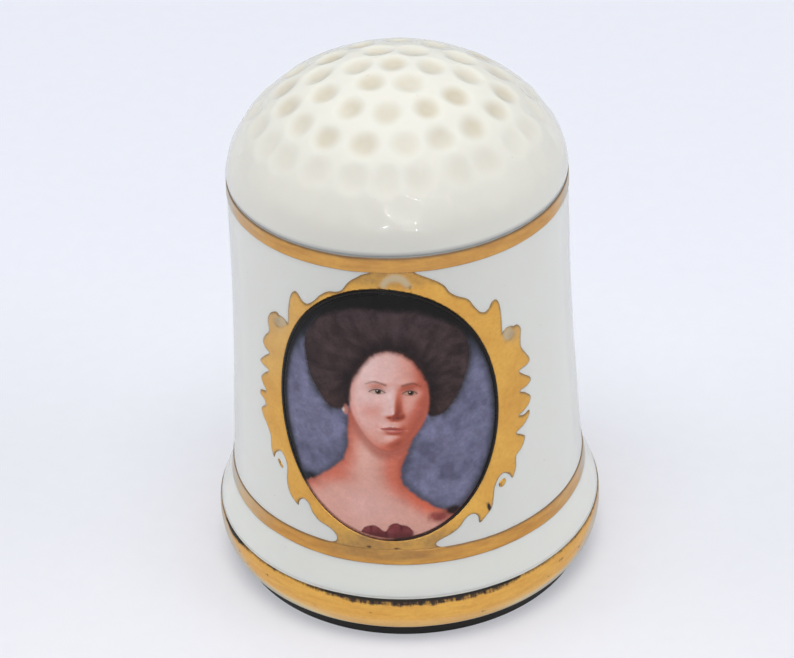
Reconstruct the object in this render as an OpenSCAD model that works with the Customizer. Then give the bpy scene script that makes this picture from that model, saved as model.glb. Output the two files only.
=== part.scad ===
// Porcelain thimble: one hollow body with a dimpled dome cap, three gilt bands, a dark line
// at the foot edge, a gilt scroll frame and an enamel bust portrait in an oval.
// Units mm. +Z up along the axis, z = 0 on the plane the foot stands on,
// origin on the axis. The portrait faces -Y.

/* [Body] */
// Height of the top of the dome above the table
body_height = 28; // [27:0.1:29]
// Widest radius of the dome cap, at its rim
dome_radius = 8.42; // [8.38:0.01:8.5]
// Height of the rim under the dome cap
dome_rim_z = 22.2; // [22.15:0.01:22.3]
// Fullness of the dome (2 is a true ellipse)
dome_fullness = 1.87; // [1.8:0.01:2.1]
// Radius of the straight part of the finger hole
bore_radius = 7.75; // [7.5:0.05:7.8]
// Depth of the straight part of the finger hole
bore_depth = 6; // [4:0.5:8]
// Thickness of the crown above the finger hole
crown_thickness = 1.8; // [1.5:0.1:2.4]

/* [Dimples] */
// Depth of one dimple below the dome surface
dimple_depth = 0.2; // [0.1:0.01:0.28]
// Radius of one dimple at the dome surface
dimple_radius = 0.66; // [0.5:0.01:0.72]
// Turn of the whole dimple pattern about the axis, degrees
dimple_turn = 2; // [0:1:14]

/* [Gilding] */
// Thickness of the fired gold
gilt_thickness = 0.06; // [0.04:0.01:0.1]
// Width of the gold band under the dome rim
upper_band_width = 0.8; // [0.5:0.05:1]
// Height of the lower edge of the gold band at the foot
foot_band_z = 0.88; // [0.86:0.01:0.95]

/* [Portrait] */
// Half width of the oval, measured along the surface
oval_half_width = 5.78; // [5.5:0.01:5.9]
// Half height of the oval
oval_half_height = 7.22; // [7:0.01:7.3]
// Height of the middle of the oval
oval_z = 13.26; // [13.2:0.01:13.4]
// Lean of the oval out of the vertical, degrees
oval_lean = 1.8; // [0:0.1:3]
// Width of the dark line round the oval
line_width = 0.16; // [0.12:0.01:0.25]
// Thickness of the enamel layers
enamel_thickness = 0.05; // [0.04:0.01:0.08]
// Extra thickness of the finest strokes laid over the flesh colour
stroke_thickness = 0.04; // [0.03:0.01:0.06]

// Middle of the face across the front, along the surface
face_u = 0.2; // [0:0.1:0.4]
// Height of the middle of the face
face_z = 14.2; // [14:0.1:14.4]
// Half width of the face
face_half_width = 2; // [1.9:0.05:2.1]
// Half height of the face, hairline to chin
face_half_height = 2.9; // [2.7:0.05:3]
// Lean of the head, degrees
face_tilt = -3; // [-4:0.5:0]

/* [Hidden] */
// Heights of the band edges
upper_band_top = dome_rim_z;
upper_band_bottom = upper_band_top - upper_band_width;
lower_band_top = 5.52;
lower_band_bottom = 4.62;
foot_band_top = 3.04;

// Outside radii of the wall
barrel_top_radius = 8.375;   // under the dome rim
waist_radius = 9.12;         // where the foot starts to flare
flare_radius = 9.93;         // at the bottom of the flare
barrel_power = 1.6;          // over 1, the barrel opens faster the lower it gets
flare_power = 1.25;          // over 1, the flare starts more gently

// Rolled foot
roll_radius = 9.99;          // widest
roll_z = 2.4;                // height of the widest point
roll_tuck = 0.47;            // drawn in by this much ...
roll_reach = 1.5;            // ... at this distance below the widest point
foot_bottom_radius = 9.05;
foot_line_thickness = 0.05;

// Finger hole
mouth_chamfer = 0.35;
bore_dome_radius = 6.75;
bore_dome_z = 20.8;          // where the domed end starts

// Sphere that cuts one dimple
dimple_ball = (dimple_radius * dimple_radius + dimple_depth * dimple_depth)
    / (2 * dimple_depth);
// ring radius, number of dimples, offset in steps round the ring
dimple_rings = [[0, 1, 0], [1.85, 6, 0.5], [3.68, 12, 0], [5.37, 18, 0.5], [6.75, 24, 0]];

arc_radius = 8.75;           // radius at which arc lengths are laid out
slab_depth = 12;             // reaches from the axis out past the wall
band_overlap = 0.1;          // frame joins run this far past the edges of the bands
facets = 96;

// Colours
porcelain = [0.93, 0.93, 0.90];
band_gold = [0.82, 0.60, 0.28];
foot_gold = [0.85, 0.62, 0.28];
frame_gold = [0.84, 0.62, 0.27];
foot_line_black = [0.10, 0.09, 0.08];
outline_brown = [0.12, 0.08, 0.07];
background_blue = [0.38, 0.39, 0.50];
hair_brown = [0.17, 0.11, 0.10];
flesh = [0.84, 0.60, 0.52];
feature_brown = [0.35, 0.20, 0.17];
dress_red = [0.43, 0.16, 0.19];

// ---- Profiles, as [radius, z] ----

function barrel(z) = barrel_top_radius + (waist_radius - barrel_top_radius)
    * pow((upper_band_top - z) / (upper_band_top - lower_band_top), barrel_power);
// a soft S from the waist down to the foot
function flare(z) =
    let (t = pow((lower_band_top - z) / (lower_band_top - foot_band_top), flare_power))
    waist_radius + (flare_radius - waist_radius) * t * t * (3 - 2 * t);

wall_heights = [foot_band_top, 3.4, 4.0, lower_band_bottom, 5.0, lower_band_top,
                7, 9, 12.5, 16, 21, upper_band_top];
// lookup table: z, radius
wall = [for (z = wall_heights) [z, z < lower_band_top ? flare(z) : barrel(z)]];
function wall_radius(z) = lookup(z, wall);
function wall_points(heights, lift = 0) = [for (z = heights) [wall_radius(z) + lift, z]];

// foot, from its lower edge up to the groove
function roll(z) = roll_radius - roll_tuck * pow((roll_z - z) / roll_reach, 2);
foot = concat([[foot_bottom_radius, 0]],
              [for (z = [foot_band_z, 1.3, 1.8, 2.5, 3.0]) [roll(z), z]]);
// groove above the foot gold band
groove = [[9.88, 3.02], [flare_radius, foot_band_top + 0.04]];
// lip of the dome cap, rolled under into a fine crease
lip = [for (step = [[-0.07, 0.06], [-0.03, 0.14], [-0.012, 0.24]])
    [dome_radius, dome_rim_z] + step];

// point on a dome at an angle, 0 at the rim and 90 at the crown
function dome_point(angle, radius, height, rim_z) =
    [radius * pow(cos(angle), 2 / dome_fullness),
     rim_z + height * pow(sin(angle), 2 / dome_fullness)];
dome_height = body_height - dome_rim_z;
function dome_z(radius) = dome_rim_z + dome_height
    * pow(1 - pow(radius / dome_radius, dome_fullness), 1 / dome_fullness);
// downward slope in degrees, level at the crown
function dome_slope(radius) =
    radius == 0 ? 0 : atan2(dome_z(radius - 0.01) - dome_z(radius + 0.01), 0.02);

// ---- Outlines on the front, as [u, z]: u is arc length to +X of the middle ----

function turned(point, angle) = [point[0] * cos(angle) - point[1] * sin(angle),
                                 point[0] * sin(angle) + point[1] * cos(angle)];
// row: u, z, half width, half height, turn; step is the angle between points
function ellipse(row, step) = [for (a = [0:step:359])
    [row[0], row[1]] + turned([row[2] * cos(a), row[3] * sin(a)], row[4])];

// point on the edge of a scroll leaf: s from 0 at the root to 1 at the tip, side +1 or -1
function leaf_edge(row, s, side) = let (heading = row[2] + row[5] * s)
    [row[0], row[1]]
    + row[3] * s * [cos(heading), sin(heading)]
    + side * row[4] / 2 * (1 - s * s) * [-sin(heading), cos(heading)];
function leaf(row) = concat([for (s = [0:0.2:1]) leaf_edge(row, s, 1)],
                            [for (s = [0.8:-0.2:0]) leaf_edge(row, s, -1)]);

// shoulder line falling away from the neck; a hollow under 1 drops fast first
function shoulder(start, reach, fall, hollow) =
    [for (s = [0:0.2:1]) start + [reach * s, -fall * pow(s, hollow)]];
function backward(list) = [for (i = [len(list) - 1:-1:0]) list[i]];

// ---- Frame shapes; ellipse rows are u, z, half width, half height, turn ----

frame_margin = [1.2, 0.78];  // beyond the oval, in half width and half height
frame_shift = 0.2;           // frame middle from the oval middle, along the oval's width
// root u, root z, heading, length, width at the root, bend
scrolls = [
    [-3.9, 18.3, 120, 1.35, 1.1, -25], [-5.2, 16.9, 165, 1.35, 0.8, -40],
    [-6.2, 15.6, 150, 1.0, 0.9, 40],   [-6.5, 14.5, 175, 0.95, 0.7, 30],
    [-6.6, 13.3, 170, 1.05, 0.8, 30],  [-6.6, 12.5, 175, 0.85, 0.7, -40],
    [-6.5, 11.3, 180, 0.85, 1.3, 20],  [-6.2, 10.4, 215, 1.2, 1.2, 40],
    [-4.6, 8.2, 222, 1.25, 1.1, 35],   [-2.5, 20.0, 110, 0.6, 1.6, -20],
    [5.0, 18.0, 50, 1.2, 1.1, 20],     [6.0, 16.3, 10, 1.35, 0.8, 40],
    [6.9, 15.3, 350, 1.2, 1.1, -40],   [7.1, 13.8, 5, 0.95, 0.7, -40],
    [7.1, 12.7, 5, 0.85, 0.6, -25],    [7.0, 11.9, 350, 0.95, 0.8, -20],
    [6.7, 10.6, 340, 0.8, 1.1, -30],   [6.3, 9.6, 300, 1.3, 1.2, -30],
    [4.6, 7.9, 290, 1.5, 1.1, -40],    [3.0, 20.0, 65, 0.65, 1.8, 20]];
upper_join = [[-2.0, 20.2], [-1.77, 20.58], [-1.3, 21.0],
              [-0.5, upper_band_bottom + band_overlap],
              [1.7, upper_band_bottom + band_overlap], [2.44, 20.94], [3.18, 20.42]];
lower_join = [[-3.3, 6.5], [-2.6, 5.9], [-3.0, lower_band_top - band_overlap],
              [2.6, lower_band_top - band_overlap], [2.2, 5.8], [2.9, 6.2]];
frame_dots = [[-6.03, 8.85, 0.12, 0.17, 0], [5.8, 8.25, 0.16, 0.22, -30]];
arch_outside = [0.73, 20.45, 0.8, 0.86, 0];
arch_inside = [0.71, 20.42, 0.5, 0.46, 0];
arch_base = [[-1, 19.8], [-1, 20.62], [2.5, 20.62], [2.5, 19.8]];

// ---- Portrait shapes ----

face_oval = [face_u, face_z, face_half_width, face_half_height, face_tilt];
neck = [[-1.6, 13.1], [-1.95, 10.6], [0.7, 9.4], [0.75, 10.4], [1.5, 12.4]];
chest = concat(
    shoulder([-1.85, 11.35], reach = -3.55, fall = 3.35, hollow = 0.7),
    [[-4.6, 6], [4.6, 6]],
    backward(shoulder([0.55, 10.3], reach = 3.95, fall = 3.0, hollow = 0.4)));
hair_masses = [[-2.35, 16.1, 1.85, 2.65, 14], [2.5, 16.1, 1.9, 2.9, -8],
               [0.05, 17.95, 3.3, 2.3, 0],    [0.1, 16.6, 2.9, 2.4, 0]];
dress_scallops = [[-0.86, 6.52, 0.52, 0.42, 0], [0.4, 6.56, 0.68, 0.52, 0],
                  [2.4, 7.3, 0.6, 0.42, 20],    [3.1, 7.4, 0.5, 0.45, 30]];
// between the scallops and the oval line
dress_cloth = [[-1.5, 6.42], [-1.5, 5.9], [4.3, 5.9], [4.0, 7.7],
               [2.9, 7.2], [2.2, 6.9], [1.6, 6.5], [0.4, 6.42]];

// Strokes on the upright face: x and y from its middle, half width, half height.
// Brows and nose divide the face in thirds, and it is five eyes wide.
eye_x = face_half_width * 2 / 5;
brow_y = face_half_height / 3;
eye_y = face_half_height / 6;
nose_y = -face_half_height / 3;
mouth_y = -face_half_height * 5 / 9;   // a third of the way from nose to chin
face_strokes = [
    [-eye_x, brow_y, 0.46, 0.07], [eye_x, brow_y, 0.46, 0.07],
    [-eye_x, eye_y, 0.36, 0.12],  [eye_x, eye_y, 0.36, 0.12],
    [0, nose_y, 0.3, 0.06],       [0, mouth_y, 0.52, 0.16]];

// ---- Building blocks ----

// ring whose inner side follows a list of [radius, z]
module skin(points, thickness) {
    rotate_extrude($fn = facets)
        polygon(concat(points, [for (point = backward(points)) point + [thickness, 0]]));
}
// a [u, z] outline, projected square on and run from the axis out through the front wall
module slab(outline) {
    rotate([90, 0, 0]) linear_extrude(height = slab_depth)
        polygon([for (point = outline)
            [wall_radius(point[1]) * sin(point[0] / arc_radius * 180 / PI), point[1]]]);
}
module ellipses(rows, step = 15) {
    for (row = rows) slab(ellipse(row, step));
}
// a thin sheet between the upper and lower bands, lift above the glaze, cut by its children
module on_wall(thickness, lift = 0) {
    heights = concat(
        [lower_band_top],
        [for (z = wall_heights)
            if (z > lower_band_top + 0.01 && z < upper_band_bottom - 0.01) z],
        [upper_band_bottom]);
    intersection() {
        skin(wall_points(heights, lift), thickness);
        children();
    }
}

// the portrait oval, made larger by margin and moved along its own width by shift
module oval(margin = [0, 0], shift = 0) {
    middle = [0, oval_z] + turned([shift, 0], oval_lean);
    slab(ellipse([middle[0], middle[1], oval_half_width + margin[0],
                  oval_half_height + margin[1], oval_lean], 5));
}
module inside_line() {
    oval([-line_width, -line_width]);
}
module dress() {
    ellipses(dress_scallops);
    slab(dress_cloth);
}
module bust() {
    ellipses([face_oval]);
    slab(neck);
    slab(chest);
}
module hair() {
    ellipses(hair_masses);
}
module dimples() {
    for (ring = dimple_rings)
        for (i = [0:ring[1] - 1])
            rotate([0, 0, dimple_turn - 90 + 360 * (i + ring[2]) / ring[1]])
                translate([ring[0], 0, dome_z(ring[0])])
                    rotate([0, dome_slope(ring[0]), 0])
                        translate([0, 0, dimple_ball - dimple_depth])
                            sphere(r = dimple_ball, $fn = 48);
}

// ---- Nodes ----

module porcelain_body() {
    // the hole from crown to mouth, then the outside from foot to crown
    bore_dome_height = body_height - crown_thickness - bore_dome_z;
    profile = concat(
        [for (a = [90:-7.5:0]) dome_point(a, bore_dome_radius, bore_dome_height, bore_dome_z)],
        [[bore_radius, bore_depth], [bore_radius, mouth_chamfer],
         [bore_radius + mouth_chamfer, 0]],
        foot,
        groove,
        wall_points([for (z = wall_heights) if (z > foot_band_top + 0.05) z]),
        lip,
        [for (a = [5:5:90]) dome_point(a, dome_radius, dome_height, dome_rim_z)]);
    color(porcelain) difference() {
        rotate_extrude($fn = facets) polygon(profile);
        dimples();
    }
}
module upper_gilt_band() {
    color(band_gold)
        skin(wall_points([upper_band_bottom, upper_band_top]), gilt_thickness);
}
module lower_gilt_band() {
    color(band_gold)
        skin(wall_points([lower_band_bottom, 5, lower_band_top]), gilt_thickness);
}
module foot_gilt_band() {
    color(foot_gold) skin([for (i = [1:5]) foot[i]], gilt_thickness);
}
module foot_edge_line() {
    color(foot_line_black) skin([foot[0], foot[1]], foot_line_thickness);
}
module gilt_frame() {
    color(frame_gold) on_wall(gilt_thickness) difference() {
        union() {
            oval(frame_margin, frame_shift);
            for (row = scrolls) slab(leaf(row));
            slab(upper_join);
            slab(lower_join);
            ellipses(frame_dots, step = 30);
        }
        oval();
        // arch of bare glaze over the oval
        difference() {
            ellipses([arch_outside]);
            ellipses([arch_inside]);
            slab(arch_base);
        }
    }
}
module portrait_outline() {
    color(outline_brown) on_wall(enamel_thickness) difference() {
        oval();
        inside_line();
    }
}
module portrait_background() {
    color(background_blue) on_wall(enamel_thickness) difference() {
        inside_line();
        hair();
        bust();
        dress();
    }
}
module portrait_hair() {
    color(hair_brown) on_wall(enamel_thickness) difference() {
        intersection() {
            inside_line();
            hair();
        }
        bust();
    }
}
module portrait_skin() {
    color(flesh) on_wall(enamel_thickness) difference() {
        intersection() {
            inside_line();
            bust();
        }
        dress();
    }
}
// brows, lids, nostril line and lips
module portrait_features() {
    color(feature_brown) on_wall(stroke_thickness, lift = enamel_thickness)
        ellipses([for (row = face_strokes)
            let (middle = [face_u, face_z] + turned([row[0], row[1]], face_tilt))
            [middle[0], middle[1], row[2], row[3], face_tilt]], step = 20);
}
module portrait_dress() {
    color(dress_red) on_wall(enamel_thickness) intersection() {
        inside_line();
        dress();
    }
}

porcelain_body();
upper_gilt_band();
lower_gilt_band();
foot_gilt_band();
foot_edge_line();
gilt_frame();
portrait_outline();
portrait_background();
portrait_hair();
portrait_skin();
portrait_features();
portrait_dress();
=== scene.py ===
"""Porcelain thimble with gilt bands and an enamel portrait in a gilt scroll frame.

It stands on the table (z = 0) with its axis on Z and its opening down. The portrait
faces -Y, with +X on its right. Shapes are laid out in millimetres and turned into metres
as vertices are made; materials, lights and camera are in metres. A place on the wall is
(u, z): arc length from the front towards +X, and height.
"""
import math

import bpy
import numpy as np
from mathutils import Matrix, Vector
from mathutils.geometry import delaunay_2d_cdt


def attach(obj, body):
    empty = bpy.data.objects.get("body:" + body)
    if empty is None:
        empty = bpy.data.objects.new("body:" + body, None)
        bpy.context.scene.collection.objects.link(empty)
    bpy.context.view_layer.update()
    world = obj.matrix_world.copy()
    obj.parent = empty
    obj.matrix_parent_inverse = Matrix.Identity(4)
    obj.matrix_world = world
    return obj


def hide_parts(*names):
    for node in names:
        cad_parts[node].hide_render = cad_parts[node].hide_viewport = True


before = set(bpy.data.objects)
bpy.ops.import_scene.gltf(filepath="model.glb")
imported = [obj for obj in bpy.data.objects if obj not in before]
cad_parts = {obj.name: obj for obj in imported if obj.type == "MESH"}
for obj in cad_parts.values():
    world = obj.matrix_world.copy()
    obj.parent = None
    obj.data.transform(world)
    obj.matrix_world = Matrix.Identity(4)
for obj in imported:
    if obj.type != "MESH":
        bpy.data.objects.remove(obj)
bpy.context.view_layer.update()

MM = 0.001
TAU = 2 * math.pi

# ------------------------------------------------------------ main dimensions, mm
REF_R = 8.75              # arc lengths on the wall are laid out at this radius
BODY_H = 28.0
DOME_R, DOME_Z = 8.42, 22.2
DOME_POWER = 1.87         # superellipse power of the dome's profile; 2 would be round
LIP_TOP = 22.60           # the dome's profile gives way to the lip here
HOLE_R, HOLE_STRAIGHT_TOP = 7.75, 6.0
HOLE_TOP_R, HOLE_TOP, HOLE_CAP_H = 6.75, 20.8, 5.4

# the wall's profile: height, radius
WALL = np.array([
    [3.04, 9.93], [3.35, 9.83], [3.95, 9.55], [4.62, 9.26], [5.0, 9.18], [5.52, 9.12],
    [6.9, 9.01], [9.05, 8.88], [12.4, 8.68], [16.2, 8.52], [21.1, 8.41], [22.2, 8.375]])

# profiles from top to bottom: radius, height
LIP = np.array([
    [8.388, 22.60], [8.398, 22.54], [8.404, 22.48], [8.406, 22.42], [8.401, 22.37],
    [8.388, 22.325], [8.370, 22.29], [8.352, 22.265], [8.345, 22.245], [8.352, 22.225],
    [8.372, 22.205]])
GROOVE = np.array([[9.905, 3.13], [9.899, 3.1], [9.888, 3.07], [9.887, 3.045], [9.896, 3.02]])
FOOT = np.array([
    [9.93, 3.005], [9.975, 2.75], [9.99, 2.5], [9.975, 2.15], [9.93, 1.8], [9.85, 1.5],
    [9.75, 1.28], [9.64, 1.06], [9.52, 0.88]])
FOOT_LINE = np.array([
    [9.52, 0.865], [9.42, 0.68], [9.31, 0.47], [9.2, 0.26], [9.11, 0.09], [9.07, 0.03]])
# under the foot and round into the hole
UNDERSIDE = np.array([
    [9.46, 0.77], [9.36, 0.58], [9.26, 0.39], [9.16, 0.2], [9.09, 0.07], [9.04, 0.015],
    [8.95, 0.0], [8.6, 0.0], [8.2, 0.0], [8.08, 0.008], [7.96, 0.06], [7.85, 0.16],
    [7.78, 0.28], [HOLE_R, 0.42]])
GLAZED_UNDERSIDE = 8      # rows of the underside before the bare ware starts

# rings of dimples: ring radius, count, first angle in degrees, depth, size, glaze warmth
DIMPLES = [
    (0.0, 1, 0, 0.20, 1.0, 1), (1.84, 6, 32, 0.21, 1.0, 0.75),
    (3.66, 12, 1.6, 0.205, 1.0, 0.75), (5.36, 18, 10.8, 0.19, 1.0, 0.9),
    (6.76, 24, 2.0, 0.145, 1.06, 0.24), (7.72, 30, 8.0, 0.045, 1.0, 0.0)]
DIMPLE_R = 0.74


# ------------------------------------------------------------- graphs and noise
def fade(start, end, value):
    """0 at start and 1 at end, eased at both."""
    share = np.clip((np.asarray(value, float) - start) / (end - start), 0, 1)
    return share * share * (3 - 2 * share)


def unit(value):
    return np.clip(value, 0, 1)


def bell(x, middle, half):
    return np.exp(-((x - middle) / half) ** 2)


def blob(x, y, x_middle, y_middle, x_half, y_half, turn=0.0):
    """A round hill 1 high, turned about its middle."""
    cos, sin = math.cos(turn), math.sin(turn)
    x, y = x - x_middle, y - y_middle
    return np.exp(-(((x * cos + y * sin) / x_half) ** 2 + ((-x * sin + y * cos) / y_half) ** 2))


def blobs(x, y, table):
    """Sum of hills; each row is a height, then the blob's arguments."""
    return sum(height * blob(x, y, *shape) for height, *shape in table)


def lattice(cell, seed):
    """A repeatable random number between 0 and 1 for each whole-number cell."""
    x, y, z = cell.T
    code = (x * 374761393 + y * 668265263 + z * 2147483647 + seed * 974634777) & 0xFFFFFFFF
    code = ((code ^ (code >> 13)) * 1274126177) & 0xFFFFFFFF
    code = ((code ^ (code >> 16)) * 2246822519) & 0xFFFFFFFF
    return ((code ^ (code >> 15)) & 0xFFFFFF) / float(0xFFFFFF)


def value_noise(points, seed):
    """Smooth noise between -1 and 1 at points (N, 3)."""
    cell = np.floor(points).astype(np.int64)
    part = points - cell
    part = part * part * (3 - 2 * part)
    total = 0
    for corner in np.ndindex(2, 2, 2):
        share = np.where(corner, part, 1 - part)
        weight = share[:, 0] * share[:, 1] * share[:, 2]
        total = total + weight * lattice(cell + np.array(corner), seed)
    return 2 * total - 1


def mottle(points, octaves, seed):
    """Layered noise, each octave about twice as fine and 0.55 as strong."""
    if points.shape[1] == 2:
        points = np.column_stack([points, np.zeros(len(points))])
    total, strength, strengths = 0, 1.0, 0.0
    for k in range(octaves):
        total = total + strength * value_noise(points * 2.03 ** k + 17.3 * k, seed + k)
        strengths += strength
        strength *= 0.55
    return total / strengths


def smooth_graph(knots, values, x):
    """Smooth curve through values at knots that never overshoots them."""
    gap = np.diff(knots)
    slope = np.diff(values) / gap
    tangent = np.zeros(len(knots))
    same = slope[1:] * slope[:-1] > 0
    before, after = slope[:-1][same], slope[1:][same]
    weight_1, weight_2 = (2 * gap[1:] + gap[:-1])[same], (gap[1:] + 2 * gap[:-1])[same]
    tangent[1:-1][same] = (weight_1 + weight_2) / (weight_1 / before + weight_2 / after)
    tangent[0], tangent[-1] = slope[0], slope[-1]
    i = np.clip(np.searchsorted(knots, x) - 1, 0, len(knots) - 2)
    t = unit((x - knots[i]) / gap[i])
    return ((2 * t**3 - 3 * t**2 + 1) * values[i] + (t**3 - 2 * t**2 + t) * gap[i] * tangent[i]
            + (3 * t**2 - 2 * t**3) * values[i + 1] + (t**3 - t**2) * gap[i] * tangent[i + 1])


# ------------------------------------------------------------- curves and loops
def smooth_curve(points, steps, closed=True):
    """Catmull-Rom curve through points, with so many steps a span."""
    points = np.asarray(points, float)
    count = len(points)
    order = np.arange(-1, count + 2)
    order = order % count if closed else np.clip(order, 0, count - 1)
    curve = []
    for i in range(count if closed else count - 1):
        a, b, c, d = points[order[i:i + 4]]
        for j in range(steps):
            t = j / steps
            curve.append(0.5 * (2 * b + (c - a) * t + (2 * a - 5 * b + 4 * c - d) * t * t
                                + (3 * b - a - 3 * c + d) * t**3))
    if not closed:
        curve.append(points[-1])
    return np.array(curve)


def arc_lengths(path):
    return np.r_[0, np.cumsum(np.hypot(*np.diff(path, axis=0).T))]


def at_lengths(path, lengths, wanted):
    return np.column_stack([np.interp(wanted, lengths, column) for column in path.T])


def even_path(path, step):
    """An open path resampled at an even step."""
    lengths = arc_lengths(path)
    count = max(2, int(math.ceil(lengths[-1] / step)))
    return at_lengths(path, lengths, np.linspace(0, lengths[-1], count + 1))


def even_loop(loop, step):
    """A closed loop resampled at an even step."""
    path = np.vstack([loop, loop[:1]])
    lengths = arc_lengths(path)
    count = max(8, int(round(lengths[-1] / step)))
    return at_lengths(path, lengths, np.linspace(0, lengths[-1], count, endpoint=False))


def ellipse(x, y, x_half, y_half, angle):
    return np.column_stack([x + x_half * np.cos(angle), y + y_half * np.sin(angle)])


def inside(points, loop):
    """Even-odd test of points against a closed loop."""
    x, y = points.T
    hit = np.zeros(len(points), bool)
    for (x0, y0), (x1, y1) in zip(loop, np.roll(loop, -1, axis=0)):
        if y0 != y1:
            crosses = (y0 > y) != (y1 > y)
            hit ^= crosses & (x < (x1 - x0) * (y - y0) / (y1 - y0) + x0)
    return hit


def segment_distance(points, starts, ends):
    """Distance to the nearest segment, its number, and how far along it (0 to 1)."""
    run = ends - starts
    square = (run**2).sum(1) + 1e-12
    gaps, numbers, shares = [], [], []
    for first in range(0, len(points), 2000):
        offset = points[first:first + 2000][:, None] - starts[None]
        share = unit((offset * run).sum(2) / square)
        gap = np.hypot(*np.moveaxis(offset - share[..., None] * run, 2, 0))
        nearest = gap.argmin(1)
        row = np.arange(len(nearest))
        gaps.append(gap[row, nearest])
        numbers.append(nearest)
        shares.append(share[row, nearest])
    return np.concatenate(gaps), np.concatenate(numbers), np.concatenate(shares)


def signed_gap(points, loop):
    """Distance outside a closed loop, negative inside it."""
    gap = segment_distance(points, loop, np.roll(loop, -1, axis=0))[0]
    return np.where(inside(points, loop), -gap, gap)


# --------------------------------------------------------------------- colours
def linear(colour):
    """An sRGB tuple (0-255) as scene linear; anything else passes through."""
    if not isinstance(colour, tuple):
        return colour
    value = np.array(colour, float) / 255
    return np.where(value <= 0.04045, value / 12.92, ((value + 0.055) / 1.055) ** 2.4)


def mix(base, top, amount):
    amount = amount[:, None]
    return linear(base) * (1 - amount) + linear(top) * amount


class Coat:
    """Colours at many points, painted layer over layer."""

    def __init__(self, rgb):
        self.rgb = rgb

    def lay(self, colour, amount):
        self.rgb = mix(self.rgb, colour, amount)

    def shade(self, amount):
        self.rgb = self.rgb * (1 + amount)[:, None]
        return self.rgb


# --------------------------------------------------------- surfaces of the thimble
def turned(radius, height, angle):
    """Points about the axis; the angle runs from the front (-Y) towards +X."""
    parts = np.broadcast_arrays(radius * np.sin(angle), -radius * np.cos(angle), height)
    return np.stack(parts, -1).reshape(-1, 3)


def wall_r(z):
    return smooth_graph(WALL[:, 0], WALL[:, 1], z)


def wall_path(z):
    return np.column_stack([wall_r(z), z])


def on_wall(place, lift):
    """Points in metres at places (u, z), lifted off the wall."""
    u, z = place.T
    return turned(wall_r(z) + lift, z, u / REF_R) * MM


def dome_curve(angle, radius=DOME_R, height=BODY_H - DOME_Z, base=DOME_Z):
    power = 2 / DOME_POWER
    return np.column_stack([radius * np.cos(angle) ** power,
                            base + height * np.sin(angle) ** power])


def foot_curve():
    knots = np.arange(len(FOOT), dtype=float)
    fine = np.linspace(0, len(FOOT) - 1, 60)
    return np.column_stack([smooth_graph(knots, column, fine) for column in FOOT.T])


def profile_normals(path):
    tangent = np.gradient(path, arc_lengths(path), axis=0)
    normal = np.column_stack([-tangent[:, 1], tangent[:, 0]])
    return normal / np.linalg.norm(normal, axis=1)[:, None]


# --------------------------------------------------------------- mesh building
def new_object(name, verts, faces, smooth=True):
    mesh = bpy.data.meshes.new(name)
    mesh.from_pydata(verts.tolist(), [], faces)
    mesh.validate()
    mesh.update()
    if smooth:
        mesh.polygons.foreach_set("use_smooth", np.ones(len(mesh.polygons), bool))
    obj = bpy.data.objects.new(name, mesh)
    bpy.context.scene.collection.objects.link(obj)
    return obj


def paint_points(obj, name, rgb):
    """A colour kept on the mesh's points, read by its node material."""
    data = np.ones((len(rgb), 4), np.float32)
    data[:, :3] = rgb
    layer = obj.data.color_attributes.new(name, "FLOAT_COLOR", "POINT")
    layer.data.foreach_set("color", data.ravel())


# the gilding's channels: seams, tarnish and rubs, mixed with painted shade and painted sheen
def paint_wear_and_light(obj, edge, tarnish_and_shade, pale):
    paint_points(obj, "wear_shade_sheen", np.column_stack([unit(edge), unit(tarnish_and_shade), unit(pale)]))


def ring_quads(index):
    """Quads between rows of vertex numbers, each row closed on itself."""
    upper, lower = index[:-1], index[1:]
    quads = np.stack([upper, lower, np.roll(lower, -1, 1), np.roll(upper, -1, 1)], 2)
    return quads.reshape(-1, 4).tolist()


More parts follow.
